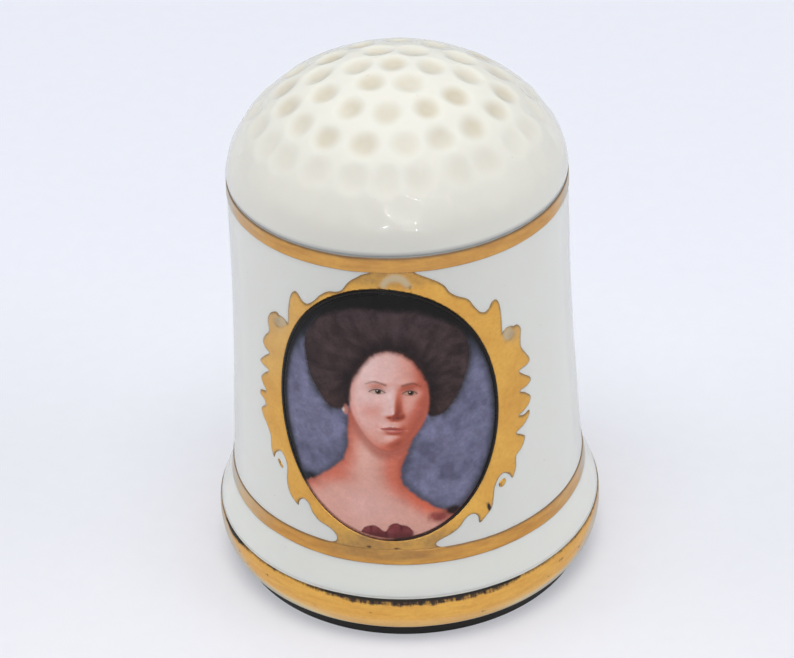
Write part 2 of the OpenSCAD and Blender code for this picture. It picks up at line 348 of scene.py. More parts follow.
def sheet(name, loops, keep, under, upper, spacing, step, bevel=None, lump=0.0, seed=0):
    """A thin closed sheet on the wall, between two heights above it.

    The loops of (u, z) bound it and keep says which points belong to it. Returns the
    object, the place of each vertex and, if bevelled, its distance from the rim.
    """
    points, edges = [], []
    for loop in loops:
        loop = even_loop(loop, step)
        first, count = len(points), len(loop)
        points += loop.tolist()
        edges += [(first + i, first + (i + 1) % count) for i in range(count)]
    border = np.array(points)
    # a triangular grid, standing off the borders
    low, high = border.min(0), border.max(0)
    columns = np.arange(low[0], high[0], spacing)
    rows = np.arange(low[1], high[1], spacing * 0.866)
    grid = np.array([(x + (spacing / 2 if j % 2 else 0), z)
                     for j, z in enumerate(rows) for x in columns])
    grid = grid[keep(grid)]
    clear = np.array([np.abs(border - point).sum(1).min() >= spacing * 0.75 for point in grid])
    points += grid[clear].tolist()
    flat, _, found, *_ = delaunay_2d_cdt([Vector(p) for p in points], edges, [], 0, 1e-5)
    place = np.array([tuple(point) for point in flat])
    tris = np.array([face for face in found if len(face) == 3])
    tris = tris[keep(place[tris].mean(1))]
    corner = place[tris]
    side_1, side_2 = (corner[:, 1] - corner[:, 0]).T, (corner[:, 2] - corner[:, 0]).T
    area = side_1[0] * side_2[1] - side_2[0] * side_1[1]
    solid = np.abs(area) > 1e-9
    tris, area = tris[solid], area[solid]
    tris[area < 0] = tris[area < 0][:, ::-1]
    used, renumbered = np.unique(tris, return_inverse=True)
    place, tris = place[used], renumbered.reshape(tris.shape)
    # rim edges belong to one triangle only
    sides = np.vstack([tris[:, [0, 1]], tris[:, [1, 2]], tris[:, [2, 0]]])
    _, which, uses = np.unique(np.sort(sides, axis=1), axis=0,
                               return_inverse=True, return_counts=True)
    rim = sides[uses[which.ravel()] == 1]
    rim_gap = None
    if bevel:
        gap = segment_distance(place, place[rim[:, 0]], place[rim[:, 1]])[0]
        rounded = np.sqrt(unit(1 - (1 - unit(gap / bevel)) ** 2))
        upper = under + (upper - under) * (0.25 + 0.75 * rounded)
        upper = upper + lump * mottle(place * 1.6, 3, seed) * fade(0, 0.2, gap)
        rim_gap = np.r_[gap, gap * 0]
    count = len(place)
    verts = np.vstack([on_wall(place, upper), on_wall(place, under)])
    faces = tris.tolist() + (tris[:, ::-1] + count).tolist()
    faces += [[b, a, a + count, b + count] for a, b in rim.tolist()]
    return new_object(name, verts, faces), np.vstack([place, place]), rim_gap


def ring_sheet(name, path, thick, around, rows, wander, bevel, seed, sink=0.004):
    """A thin closed ring on a profile of (radius, z) from top to bottom.

    wander is how far its upper and lower edges stray. Returns the object and, for each
    vertex, the angle round the axis and the share (0 to 1) of the way down the profile.
    """
    lengths = arc_lengths(path)
    total = lengths[-1]
    angle = np.arange(around) / around * TAU
    circle = np.column_stack([np.cos(angle), np.sin(angle), np.zeros(around)])
    upper_stray = wander[0] * mottle(circle * 5.0 + 3.1, 4, seed)
    lower_stray = wander[1] * mottle(circle * 5.0 + 9.7, 4, seed + 11)
    share = 0.5 - 0.5 * np.cos(np.linspace(0, 1, rows) * math.pi)   # finer towards both edges
    slope = 1 - np.minimum(1.0, np.minimum(share, 1 - share) * total / bevel)
    lift = thick * (0.15 + 0.85 * np.sqrt(np.maximum(0.0, 1 - slope**2)))
    # down the upper face, then back up the sunken one
    share = np.r_[share, share[::-1]]
    lift = np.r_[lift, np.full(rows, -sink)][:, None]
    down = share[:, None]
    along = np.clip(upper_stray * (1 - down) + (total + lower_stray) * down, 0, total)
    normal = profile_normals(path)
    if normal[:, 0].mean() < 0:
        normal = -normal
    radius, height = [np.interp(along, lengths, path[:, k])
                      + np.interp(along, lengths, normal[:, k]) * lift for k in (0, 1)]
    verts = turned(radius, np.maximum(height, 0.0), angle) * MM
    index = np.arange(2 * rows * around).reshape(2 * rows, around)
    obj = new_object(name, verts, ring_quads(np.vstack([index, index[:1]])))
    return obj, np.tile(angle, 2 * rows), np.repeat(share, around)


# ------------------------------------------------------------------- node graphs
class Graph:
    """A node tree with short ways to add to it. Colours are sockets or sRGB tuples."""

    def __init__(self, tree):
        self.tree = tree

    def fill(self, target, inputs):
        """Links or sets a node's inputs, given by name or number."""
        for key, value in inputs.items():
            if isinstance(value, bpy.types.NodeSocket):
                self.tree.links.new(value, target.inputs[key])
            elif value is not None:
                target.inputs[key].default_value = value

    def add(self, kind, inputs=None, **settings):
        made = self.tree.nodes.new(kind)
        for key, value in settings.items():
            setattr(made, key, value)
        self.fill(made, inputs or {})
        return made

    def place(self, scale=(1, 1, 1)):
        position = self.add("ShaderNodeTexCoord").outputs["Object"]
        return self.add("ShaderNodeMapping", {"Scale": scale, "Vector": position}).outputs[0]

    def noise(self, place, scale, detail=4.0, rough=0.55):
        return self.add("ShaderNodeTexNoise", {
            "Scale": scale, "Detail": detail, "Roughness": rough, "Vector": place}).outputs[0]

    def ramp(self, source, *stops):
        """A grey ramp; each stop is a position and a grey level."""
        made = self.add("ShaderNodeValToRGB", {0: source})
        elements = made.color_ramp.elements
        while len(elements) < len(stops):
            elements.new(0.5)
        for element, (position, grey) in zip(elements, stops):
            element.position = position
            element.color = (grey, grey, grey, 1)
        return made.outputs[0]

    def mix(self, amount, base, top, blend="MIX"):
        base, top = [(*linear(colour), 1) if isinstance(colour, tuple) else colour
                     for colour in (base, top)]
        return self.add("ShaderNodeMix", {0: amount, 6: base, 7: top},
                        data_type="RGBA", blend_type=blend).outputs[2]

    def maths(self, operation, a, b=None, clamp=False):
        return self.add("ShaderNodeMath", {0: a, 1: b},
                        operation=operation, use_clamp=clamp).outputs[0]

    def mul(self, a, b, clamp=False):
        return self.maths("MULTIPLY", a, b, clamp)

    def plus(self, a, b, clamp=False):
        return self.maths("ADD", a, b, clamp)

    def minus(self, a, b, clamp=False):
        return self.maths("SUBTRACT", a, b, clamp)

    def attribute(self, name):
        return self.add("ShaderNodeAttribute", attribute_name=name).outputs["Color"]

    def channels(self, name):
        return self.add("ShaderNodeSeparateColor", {0: self.attribute(name)}).outputs

    def xyz(self, vector):
        return self.add("ShaderNodeSeparateXYZ", {0: vector}).outputs

    def facing(self):
        """0 where the surface faces the eye, 1 where the eye grazes it."""
        return self.add("ShaderNodeLayerWeight", {0: 0.5}).outputs["Facing"]

    def bump(self, height, strength, distance):
        return self.add("ShaderNodeBump", {
            "Strength": strength, "Distance": distance, "Height": height}).outputs[0]


def surface(name):
    """A new material, its graph and its Principled shader."""
    material = bpy.data.materials.new(name)
    material.use_nodes = True
    material.node_tree.nodes.clear()
    graph = Graph(material.node_tree)
    output = graph.add("ShaderNodeOutputMaterial")
    shader = graph.add("ShaderNodeBsdfPrincipled")
    graph.fill(output, {0: shader.outputs[0]})
    return material, graph, shader


# -------------------------------------------------------------------- materials
def porcelain_material():
    material, g, shader = surface("glazed_porcelain")
    place = g.place()
    deep, bare, dome = list(g.channels("cavity"))[:3]
    colour = g.mix(dome, (232, 233, 227), (239, 238, 228))
    clouds = g.noise(place, scale=160, detail=3)
    colour = g.mix(g.ramp(clouds, (0.35, 0), (0.75, 0.35)), colour, (228, 226, 219))
    # glaze pools warmer in the dimples
    patchy = g.plus(g.mul(g.noise(place, scale=900, detail=2), 0.8), 0.55)
    colour = g.mix(g.mul(deep, patchy, clamp=True), colour, (217, 208, 186))
    # tiny kiln specks
    specks = g.ramp(g.noise(place, scale=2600, detail=2, rough=0.5), (0.755, 0), (0.79, 1))
    colour = g.mix(g.mul(specks, 0.22), colour, (150, 140, 128))
    # painted shade: the glaze is greyed where the eye grazes it, and low on the dome
    colour = g.mix(g.ramp(g.facing(), (0.72, 0), (1.0, 0.75)), colour, (186, 187, 178))
    height = g.xyz(place)[2]
    low = g.mul(g.minus(0.0272, height), 250.0, clamp=True)
    colour = g.mix(g.mul(g.mul(low, dome), 0.62), colour, (221, 219, 211))
    # painted shade: soft grey where the lip turns in over the gold
    from_crease = g.maths("ABSOLUTE", g.minus(height, 0.02226))
    crease_shade = g.minus(1.0, g.mul(from_crease, 3400.0), clamp=True)
    colour = g.mix(g.mul(crease_shade, 0.85), colour, (158, 160, 158))
    # bare biscuit ware inside the finger hole
    colour = g.mix(bare, colour, (226, 221, 210))
    rough = g.plus(g.mul(g.noise(place, scale=500, detail=3), 0.10), 0.17)
    waves = g.plus(g.mul(g.noise(place, scale=260, detail=2), 1.0),
                   g.mul(g.noise(place, scale=1500, detail=2), 0.12))
    g.fill(shader, {
        "Base Color": colour,
        "Roughness": g.plus(rough, g.mul(bare, 0.35), clamp=True),
        "IOR": 1.5,
        "Subsurface Weight": 0.22,
        "Subsurface Radius": (1.0, 0.78, 0.6),
        "Subsurface Scale": 0.0011,
        "Specular IOR Level": 0.34,
        "Coat Weight": 0.22,
        "Coat Roughness": 0.04,
        "Normal": g.bump(waves, strength=0.35, distance=0.00005)})
    return material


def gold_material(name, base, dull, stretch, speckle, rubbed_and_sheen):
    """Gilding; stretch scales the noise on each axis, speckle is how dark the specks are."""
    material, g, shader = surface(name)
    brushed = g.place(stretch)
    place = g.place()
    edge, tarnish_and_shade, pale = list(g.channels("wear_shade_sheen"))[:3]
    clouds = g.noise(brushed, scale=700, detail=5, rough=0.6)
    colour = g.mix(g.ramp(clouds, (0.3, 0), (0.72, 1)), base, dull)
    fine = g.noise(place, scale=5200, detail=3, rough=0.6)
    colour = g.mix(g.mul(g.ramp(fine, (0.45, 0), (0.8, 1)), 0.35), colour, (196, 138, 62))
    # rubbed pale gold, and painted sheen, from the pale channel
    colour = g.mix(pale, colour, rubbed_and_sheen)
    # thin brown seam where the gold meets the glaze, with the painted shade that the edge channel
    # carries
    uneven = g.mul(g.minus(g.noise(place, scale=2600, detail=4), 0.5), 0.9)
    seam_and_shade = g.mul(g.mul(edge, g.plus(edge, uneven, clamp=True)), 0.85, clamp=True)
    colour = g.mix(seam_and_shade, colour, (128, 100, 72))
    # brushed-on tarnish and worn specks, with the painted shade and dark painted reflection that the
    # tarnish channel carries
    streaks = g.noise(brushed, scale=2400, detail=5, rough=0.62)
    hairs = g.noise(g.place((5, 5, 1.0)), scale=1900, detail=4, rough=0.6)
    ragged = g.plus(g.mul(g.minus(streaks, 0.5), 0.55), g.mul(g.minus(hairs, 0.5), 0.75))
    mask = g.ramp(g.plus(tarnish_and_shade, ragged), (0.36, 0), (0.74, 1))
    specks = g.ramp(g.noise(place, scale=1900, detail=3, rough=0.5), (0.735, 0), (0.78, 1))
    dirt_and_shade = g.maths("MAXIMUM", mask, g.mul(specks, speckle))
    brown = g.mix(g.ramp(tarnish_and_shade, (0.45, 0), (0.85, 1)), (122, 86, 50), (34, 28, 20))
    colour = g.mix(dirt_and_shade, colour, brown)
    # painted reflection: seen edge on, the gilding is turned towards the pale grey of its
    # surroundings
    colour = g.mix(g.ramp(g.facing(), (0.68, 0), (0.81, 0.78)), colour, (192, 188, 176))
    rough = g.plus(g.mul(clouds, 0.22), 0.26)
    grain = g.plus(g.mul(streaks, 0.6), g.mul(fine, 0.35))
    g.fill(shader, {
        "Base Color": colour,
        "Metallic": g.minus(0.92, g.mul(g.maths("MAXIMUM", dirt_and_shade, seam_and_shade), 0.7), clamp=True),
        "Roughness": g.plus(rough, g.mul(dirt_and_shade, 0.25), clamp=True),
        "Normal": g.bump(grain, strength=0.5, distance=0.00002)})
    return material


def enamel_material(name, grain, rough=0.26, specular=0.15, coat=0.04):
    """Painted enamel; grain is how much its brightness varies."""
    material, g, shader = surface(name)
    brushed = g.place()
    place = g.place()
    colour = g.attribute("paint")
    tone = g.noise(brushed, scale=1500, detail=4, rough=0.6)
    broad = g.ramp(tone, (0.3, 1 - grain), (0.7, 1 + grain))
    colour = g.mix(1.0, colour, broad, "MULTIPLY")
    dots = g.noise(place, scale=6500, detail=2, rough=0.5)
    fine = g.ramp(dots, (0.35, 1 - grain * 0.5), (0.65, 1 + grain * 0.5))
    g.fill(shader, {
        "Base Color": g.mix(1.0, colour, fine, "MULTIPLY"),
        "Roughness": g.plus(g.mul(tone, 0.16), rough - 0.08),
        "Specular IOR Level": specular,
        "Coat Weight": coat,
        "Coat Roughness": 0.08,
        "Normal": g.bump(tone, strength=0.3, distance=0.000012)})
    return material


def floor_material():
    material, g, shader = surface("floor_paper")
    place = g.place()
    paper = g.noise(place, scale=900, detail=3, rough=0.6)
    # painted light: cooler towards the back (+Y)
    back = g.plus(g.mul(g.xyz(place)[1], 18.0), 0.5, clamp=True)
    cool = g.mix(paper, (191, 194, 203), (196, 199, 208))
    plain = g.mix(paper, (190, 190, 193), (195, 195, 198))
    g.fill(shader, {
        "Base Color": g.mix(back, plain, cool),
        "Roughness": 0.75,
        "Emission Color": (0.97, 0.98, 1.05, 1),
        "Emission Strength": 0.325})
    return material


# ------------------------------------------------------------- porcelain body
def body_profile():
    """The body's profile from the crown, down the outside and up to the hole's end.

    Also returns how many of its points are dome, and where the bare ware starts.
    """
    dome = dome_curve(np.linspace(math.pi / 2, 0, 900))
    dome[0, 0] = 0.0
    dome = even_path(dome, 0.115)
    dome = dome[dome[:, 1] > LIP_TOP]
    barrel = wall_path(np.linspace(22.15, 5.6, 47))
    flare = wall_path(np.r_[5.52, np.linspace(5.4, 3.2, 26)])
    outside = np.vstack([dome, LIP, barrel, flare, GROOVE, foot_curve()[::2], UNDERSIDE])
    straight = np.linspace(1.0, HOLE_STRAIGHT_TOP, 10)
    straight = np.column_stack([np.full(len(straight), HOLE_R), straight])
    rise = np.linspace(6.8, 20.6, 20)
    share = (rise - HOLE_STRAIGHT_TOP) / (HOLE_TOP - HOLE_STRAIGHT_TOP)
    taper = np.column_stack([HOLE_R + (HOLE_TOP_R - HOLE_R) * share, rise])
    cap = dome_curve(np.linspace(0, math.pi / 2, 200), HOLE_TOP_R, HOLE_CAP_H, HOLE_TOP)
    cap[-1, 0] = 0
    path = np.vstack([outside, straight, taper, even_path(cap, 0.4)])
    return path, len(dome), len(outside) - len(UNDERSIDE) + GLAZED_UNDERSIDE


def dimple_field(points):
    """Depth of the dimples at points on the dome, and how warm the glaze is there."""
    rng = np.random.default_rng(7)
    outline = dome_curve(np.linspace(0.001, math.pi / 2 - 0.001, 900))[::-1]
    depths, warmths = np.zeros(len(points)), np.zeros(len(points))
    for ring_r, count, first, ring_depth, size, ring_warmth in DIMPLES:
        ringed = ring_r > 0
        for i in range(count):
            angle = math.radians(first + 360 * i / count + rng.normal(0, 1.1 if ringed else 0))
            reach = ring_r + rng.normal(0, 0.04) * ringed
            centre = turned(reach, np.interp(reach, *outline.T), angle)[0]
            radius = DIMPLE_R * (1 + rng.normal(0, 0.04)) * size
            depth = ring_depth * (1 + rng.normal(0, 0.10))
            warmth = min(1.0, max(0.0, ring_warmth * (1 + rng.normal(0, 0.25))))
            offset = points - centre
            gap = np.linalg.norm(offset, axis=1)
            near = gap < radius * 1.35
            # a hair of outline wander, so no dimple is a perfect circle
            turn = np.arctan2(offset[near, 0], -offset[near, 1])
            edge = radius * (1 + 0.035 * np.cos(2 * turn + centre[0] * 3)
                             + 0.02 * np.cos(3 * turn + centre[1] * 5))
            share = unit(gap[near] / (edge * 1.24))
            depths[near] += depth * 0.96 * (1 - share**2.35) ** 1.9
            warmths[near] = np.maximum(warmths[near], fade(0.96, 0.25, share) * warmth)
    return depths, unit(warmths)


def build_body():
    around = 384
    path, dome_count, bare_start = body_profile()
    normals = profile_normals(path)[1:-1, :, None]
    rows = path[1:-1, :, None]
    angle = np.arange(around) / around * TAU
    crown, hole_end = [[0, 0, path[0, 1]]], [[0, 0, path[-1, 1]]]
    points = np.vstack([crown, turned(rows[:, 0], rows[:, 1], angle), hole_end])
    outward = np.vstack([[[0, 0, 1]], turned(normals[:, 0], normals[:, 1], angle)])
    # dimples, and the slip-cast unevenness of the whole dome
    on_dome = 1 + (dome_count - 1) * around
    dome = points[:on_dome].copy()
    depths, warmths = dimple_field(dome)
    inner = fade(8.42, 8.0, np.hypot(dome[:, 0], dome[:, 1]))
    uneven = 0.020 * mottle(dome * 0.55, 3, 21) + 0.012 * mottle(dome * 1.7, 2, 33) * inner
    points[:on_dome] += outward[:on_dome] * (uneven - depths)[:, None]
    index = np.arange(len(rows) * around).reshape(-1, around) + 1
    last = len(points) - 1
    faces = [[0, 1 + j, 1 + (j + 1) % around] for j in range(around)]
    faces += ring_quads(index)
    faces += [[int(index[-1, (j + 1) % around]), int(index[-1, j]), last]
              for j in range(around)]
    obj = new_object("porcelain", points * MM, faces)
    # red: warm pools in the dimples; green: bare ware; blue: the dome
    row = np.r_[0, np.repeat(np.arange(len(rows)), around), len(rows)]
    cavity = np.zeros((len(points), 3))
    cavity[:on_dome, 0] = warmths
    cavity[:, 1] = row >= bare_start
    cavity[:, 2] = fade(21.6, 23.2, points[:, 2]) * (cavity[:, 1] < 0.5)
    paint_points(obj, "cavity", cavity)
    return obj


# ---------------------------------------------------------------- gilt bands
# Angles on the bands are in degrees from the front, positive towards +X (the right).
BAND_AROUND = 640
# rubs on the foot: angle, share of the way down, half width in degrees, half height
FOOT_RUBS = [
    (-56, 0.33, 0.9, 0.05), (-51.5, 0.46, 1.1, 0.035), (-41, 0.30, 1.0, 0.04),
    (-6, 0.42, 0.8, 0.03), (21, 0.36, 0.7, 0.03), (-47, 0.62, 0.6, 0.03),
    (56, 0.25, 1.6, 0.05), (66, 0.4, 1.2, 0.05)]


def wrap(degrees):
    return (degrees + 180) % 360 - 180


def ring_mottle(angle, share, size, stretch, octaves, seed):
    """Noise round a ring; size and stretch scale it round the axis and down the profile."""
    return mottle(np.column_stack([np.cos(angle) * size, np.sin(angle) * size,
                                   share * stretch]), octaves, seed)


def build_upper_band():
    obj, angle, down = ring_sheet(
        "gilt_band_upper", wall_path(np.linspace(22.19, 21.39, 16)), thick=0.05,
        around=BAND_AROUND, rows=14, wander=(0.02, 0.04), bevel=0.12, seed=5)
    turn = wrap(np.degrees(angle))
    joined = fade(-9, -5, turn) * fade(15, 11, turn)    # where the frame's crest meets it
    # painted reflection: paler towards both sides, where the band turns from the eye
    sides = fade(-34, -58, turn) * fade(-125, -100, turn) + fade(62, 76, turn) * fade(120, 100, turn)
    # painted shade darkens the top edge under the lip; a thin brown seam runs along the lower edge
    edge = np.maximum(fade(0.24, 0.02, down) * 1.1, fade(0.86, 1.0, down) * (0.55 - 0.35 * joined))
    # tarnish mottles it, darker near the top: painted shade
    tarnish_and_shade = (0.12 + 0.12 * ring_mottle(angle, down, 7, 1, 3, seed=4)
               + 0.12 * fade(0.3, 0.0, down))
    paint_wear_and_light(obj, edge, tarnish_and_shade, 0.08 + 0.42 * sides)
    return obj


def build_lower_band():
    obj, angle, down = ring_sheet(
        "gilt_band_lower", wall_path(np.linspace(5.50, 4.66, 16)), thick=0.05,
        around=BAND_AROUND, rows=12, wander=(0.03, 0.05), bevel=0.12, seed=15)
    turn = wrap(np.degrees(angle))
    joined = fade(-20.5, -18.0, turn) * fade(18.0, 15.5, turn)
    front = fade(-32, -10, turn) * fade(29, 8, turn)
    edge = np.maximum(fade(0.24, 0.0, down) * (1.05 - joined), fade(0.86, 1.0, down) * 0.6)
    uneven = 1 + 0.25 * ring_mottle(angle, down, 5, 1, 3, seed=17)
    # painted shade: darker and browner over the lower half at the front
    edge = np.maximum(edge, 0.66 * front * fade(1.0, 0.5, down) * uneven)
    tarnish_and_shade = 0.12 + 0.12 * ring_mottle(angle, down, 7, 1, 3, seed=14) + 0.07 * joined
    # painted reflection: paler towards both sides
    pale = (0.75 * fade(-36, -64, turn) * fade(-125, -95, turn)
            + 0.35 * fade(48, 72, turn) * fade(125, 95, turn))
    paint_wear_and_light(obj, edge, tarnish_and_shade, pale)
    return obj


def build_foot_band():
    obj, angle, down = ring_sheet(
        "gilt_band_foot", foot_curve(), thick=0.045, around=BAND_AROUND, rows=26,
        wander=(0.02, 0.03), bevel=0.12, seed=25)
    turn = wrap(np.degrees(angle))
    ragged = ring_mottle(angle, down, 19.8, 1.0, 4, seed=31)
    fine = ring_mottle(angle, down, 54.0, 4.0, 3, seed=37)
    hairs = ring_mottle(angle, down, 31.5, 1.5, 3, seed=47)
    # painted dark reflection under the upper edge, strongest at the front where the band faces the
    # camera, and a dark line along the top edge: painted shade of the groove above
    front = fade(-33, -7, turn) * fade(46, 26, turn)
    reach = 0.045 + (0.10 + 0.05 * ragged + 0.05 * hairs) * front
    dark_reflection = fade(reach + 0.10, reach - 0.02, down) * (0.30 + 0.50 * front) * (0.90 + 0.45 * fine)
    line = fade(0.105, 0.04, down) * (0.56 + 0.60 * front) * (0.94 + 0.2 * fine)
    # a patch at the left, and scattered rubs all round
    patch = bell(turn, -60, 6.5) * fade(0.30, 0.02, down) * (0.66 + 0.25 * ragged)
    patch = patch + 0.75 * blobs(turn, down, [(1, *rub) for rub in FOOT_RUBS])
    back = fade(-6, 20, np.abs(wrap(turn - 10)) - 95) * fade(0.16, 0.02, down)
    back = unit(back * (0.5 + 0.6 * ragged))
    rubs = fade(0.30, 0.62, ring_mottle(angle, down, 27.9, 5.0, 3, seed=43)) * 0.5
    tarnish_and_shade = np.maximum(dark_reflection, line) + patch + back * 0.7 + rubs * 0.5
    edge = np.maximum(fade(0.05, 0.0, down) * (1 - front), fade(0.97, 1.0, down) * 0.3)
    # painted highlight: paler low on the band towards both sides, with a pale line near the lower
    # edge
    pale = fade(0.50, 0.78, down) * (0.22 + 0.55 * fade(-8, -40, turn) + 0.35 * fade(25, 45, turn))
    pale = pale + 0.08 + 0.8 * bell(down + 0.03 * ragged, 0.82, 0.07) * (
        fade(-14, -36, turn) + fade(30, 48, turn))
    paint_wear_and_light(obj, edge, tarnish_and_shade, pale)
    return obj


def build_foot_line():
    # a near-black ring on the foot's undercut: painted shade of the gap under the foot
    obj, angle, down = ring_sheet(
        "foot_edge", even_path(FOOT_LINE, 0.09), thick=0.02, around=BAND_AROUND // 2, rows=10,
        wander=(0.01, 0.0), bevel=0.06, seed=35, sink=0.003)
    tone = 0.5 + 0.5 * ring_mottle(angle, down, 11.7, 2.6, 3, seed=51)
    paint_points(obj, "paint", mix((20, 19, 17), (36, 33, 29), tone))
    return obj


# ----------------------------------------------------------------- oval frame
OVAL_W, OVAL_H, OVAL_Z, LEAN = 5.78, 7.22, 13.26, math.radians(1.8)   # half sizes, middle
LINE_W = 0.17             # dark line just inside the oval

# the frame's scroll outline, (u, z), from top to bottom
SCROLL_L = [
    (-0.35, 21.45), (-0.62, 21.34), (-0.9, 21.24), (-1.14, 21.09), (-1.48, 20.86),
    (-1.74, 20.58), (-1.94, 20.28), (-2.24, 20.12), (-2.7, 20.05), (-3.15, 19.73),
    (-3.56, 19.29), (-3.92, 19.05), (-4.21, 19.16), (-4.44, 19.46), (-4.64, 19.53),
    (-4.89, 19.27), (-5.05, 18.76), (-5.15, 18.1), (-5.18, 17.58), (-5.4, 17.27),
    (-5.8, 17.06), (-6.1, 17.2), (-6.08, 17.5), (-5.8, 17.68), (-5.95, 17.86),
    (-6.42, 17.6), (-6.67, 17.1), (-6.61, 16.51), (-6.97, 16.05), (-7.16, 15.65),
    (-7.01, 15.34), (-6.68, 15.18), (-7.12, 14.76), (-7.47, 14.38), (-7.2, 14.2),
    (-6.77, 14.11), (-7.17, 13.74), (-7.43, 13.38), (-7.25, 13.05), (-7.02, 12.8),
    (-7.48, 12.63), (-7.56, 12.36), (-7.23, 12.2), (-7.07, 11.96), (-7.45, 11.56),
    (-7.35, 11.22), (-7.01, 10.8), (-6.72, 10.31), (-6.66, 9.61), (-6.46, 9.12),
    (-6.31, 9.46), (-5.98, 9.72), (-5.68, 9.5), (-5.52, 9.0), (-5.56, 8.2), (-5.43, 7.62),
    (-5.18, 7.25), (-4.84, 7.0), (-4.76, 7.3), (-4.5, 7.52), (-4.22, 7.36), (-4.0, 6.92),
    (-3.68, 6.56), (-3.24, 6.37), (-2.86, 6.17), (-2.66, 5.85), (-2.72, 5.6), (-3.1, 5.45)]
SCROLL_R = [
    (1.60, 21.45), (1.76, 21.31), (2.03, 21.16), (2.44, 20.94), (2.80, 20.73), (3.16, 20.42),
    (3.38, 20.05), (3.76, 19.74), (4.34, 19.41), (4.65, 18.93), (4.97, 18.52), (5.25, 18.42),
    (5.48, 18.58), (5.64, 18.84), (5.87, 18.91), (6.07, 18.63), (6.18, 18.02), (6.21, 17.21),
    (6.24, 16.66), (6.49, 16.34), (6.8, 16.36), (6.98, 16.6), (6.8, 16.86), (7.12, 16.98),
    (7.42, 16.63), (7.38, 16.08), (7.41, 15.56), (7.72, 15.05), (7.97, 14.6), (7.75, 14.36),
    (7.2, 14.27), (7.46, 13.97), (7.98, 13.5), (7.75, 13.2), (7.2, 13.1), (7.54, 12.85),
    (7.9, 12.46), (7.75, 12.1), (7.38, 11.86), (7.03, 11.76), (7.37, 11.65), (7.72, 11.75),
    (7.72, 11.45), (7.32, 11.06), (6.82, 10.84), (7.09, 10.62), (7.35, 10.35), (7.1, 9.84),
    (6.71, 9.51), (6.65, 8.87), (6.41, 8.36), (6.18, 8.67), (5.85, 8.86), (5.57, 8.66),
    (5.34, 8.2), (5.25, 7.63), (5.13, 7.12), (4.84, 6.78), (4.43, 6.45), (4.36, 6.87),
    (4.11, 7.08), (3.76, 6.96), (3.41, 6.5), (2.95, 6.18), (2.5, 5.98), (2.2, 5.76),
    (2.35, 5.55), (2.8, 5.45)]
DOT_L = [(-6.17, 9.14), (-6.08, 9.2), (-5.95, 9.1), (-5.82, 8.93), (-5.8, 8.8),
         (-5.92, 8.78), (-6.08, 8.92)]
DOT_R = [(5.93, 8.54), (6.0, 8.36), (5.88, 8.14), (5.7, 8.1), (5.58, 8.2), (5.6, 8.38),
         (5.76, 8.52)]
ARCH_U, ARCH_Z = 0.73, 20.45      # middle of the small arch in the crest
# dark touches on the frame: strength, u, z, half u, half z, turn
FRAME_TIPS = [
    (1.1, 4.97, 7.16, 0.10, 0.34, 0.25), (0.7, 4.48, 6.53, 0.20, 0.07),
    (0.5, -4.95, 7.08, 0.14, 0.12), (0.55, -6.50, 9.25, 0.12, 0.14),
    (0.35, -6.65, 10.3, 0.07, 0.5), (0.45, -0.06, 20.56, 0.13, 0.16),
    (0.45, 1.46, 20.56, 0.13, 0.16), (0.62, -1.01, 5.62, 0.19, 0.075),
    (0.62, 0.35, 5.61, 0.19, 0.075)]


def oval_loop(inset=0.0):
    angle = np.arange(360) / 360 * TAU
    u, v = ellipse(0, 0, OVAL_W - inset, OVAL_H - inset, angle).T
    return np.column_stack([u * math.cos(LEAN) - v * math.sin(LEAN),
                            OVAL_Z + u * math.sin(LEAN) + v * math.cos(LEAN)])


def oval_depth(points):
    """About how far inside the oval's edge a point is."""
    u, v = points[:, 0], points[:, 1] - OVAL_Z
    across = u * math.cos(LEAN) + v * math.sin(LEAN)
    along = -u * math.sin(LEAN) + v * math.cos(LEAN)
    ratio = np.hypot(across / OVAL_W, along / OVAL_H)
    return (1 - ratio) * np.hypot(across, along) / np.maximum(ratio, 1e-6)


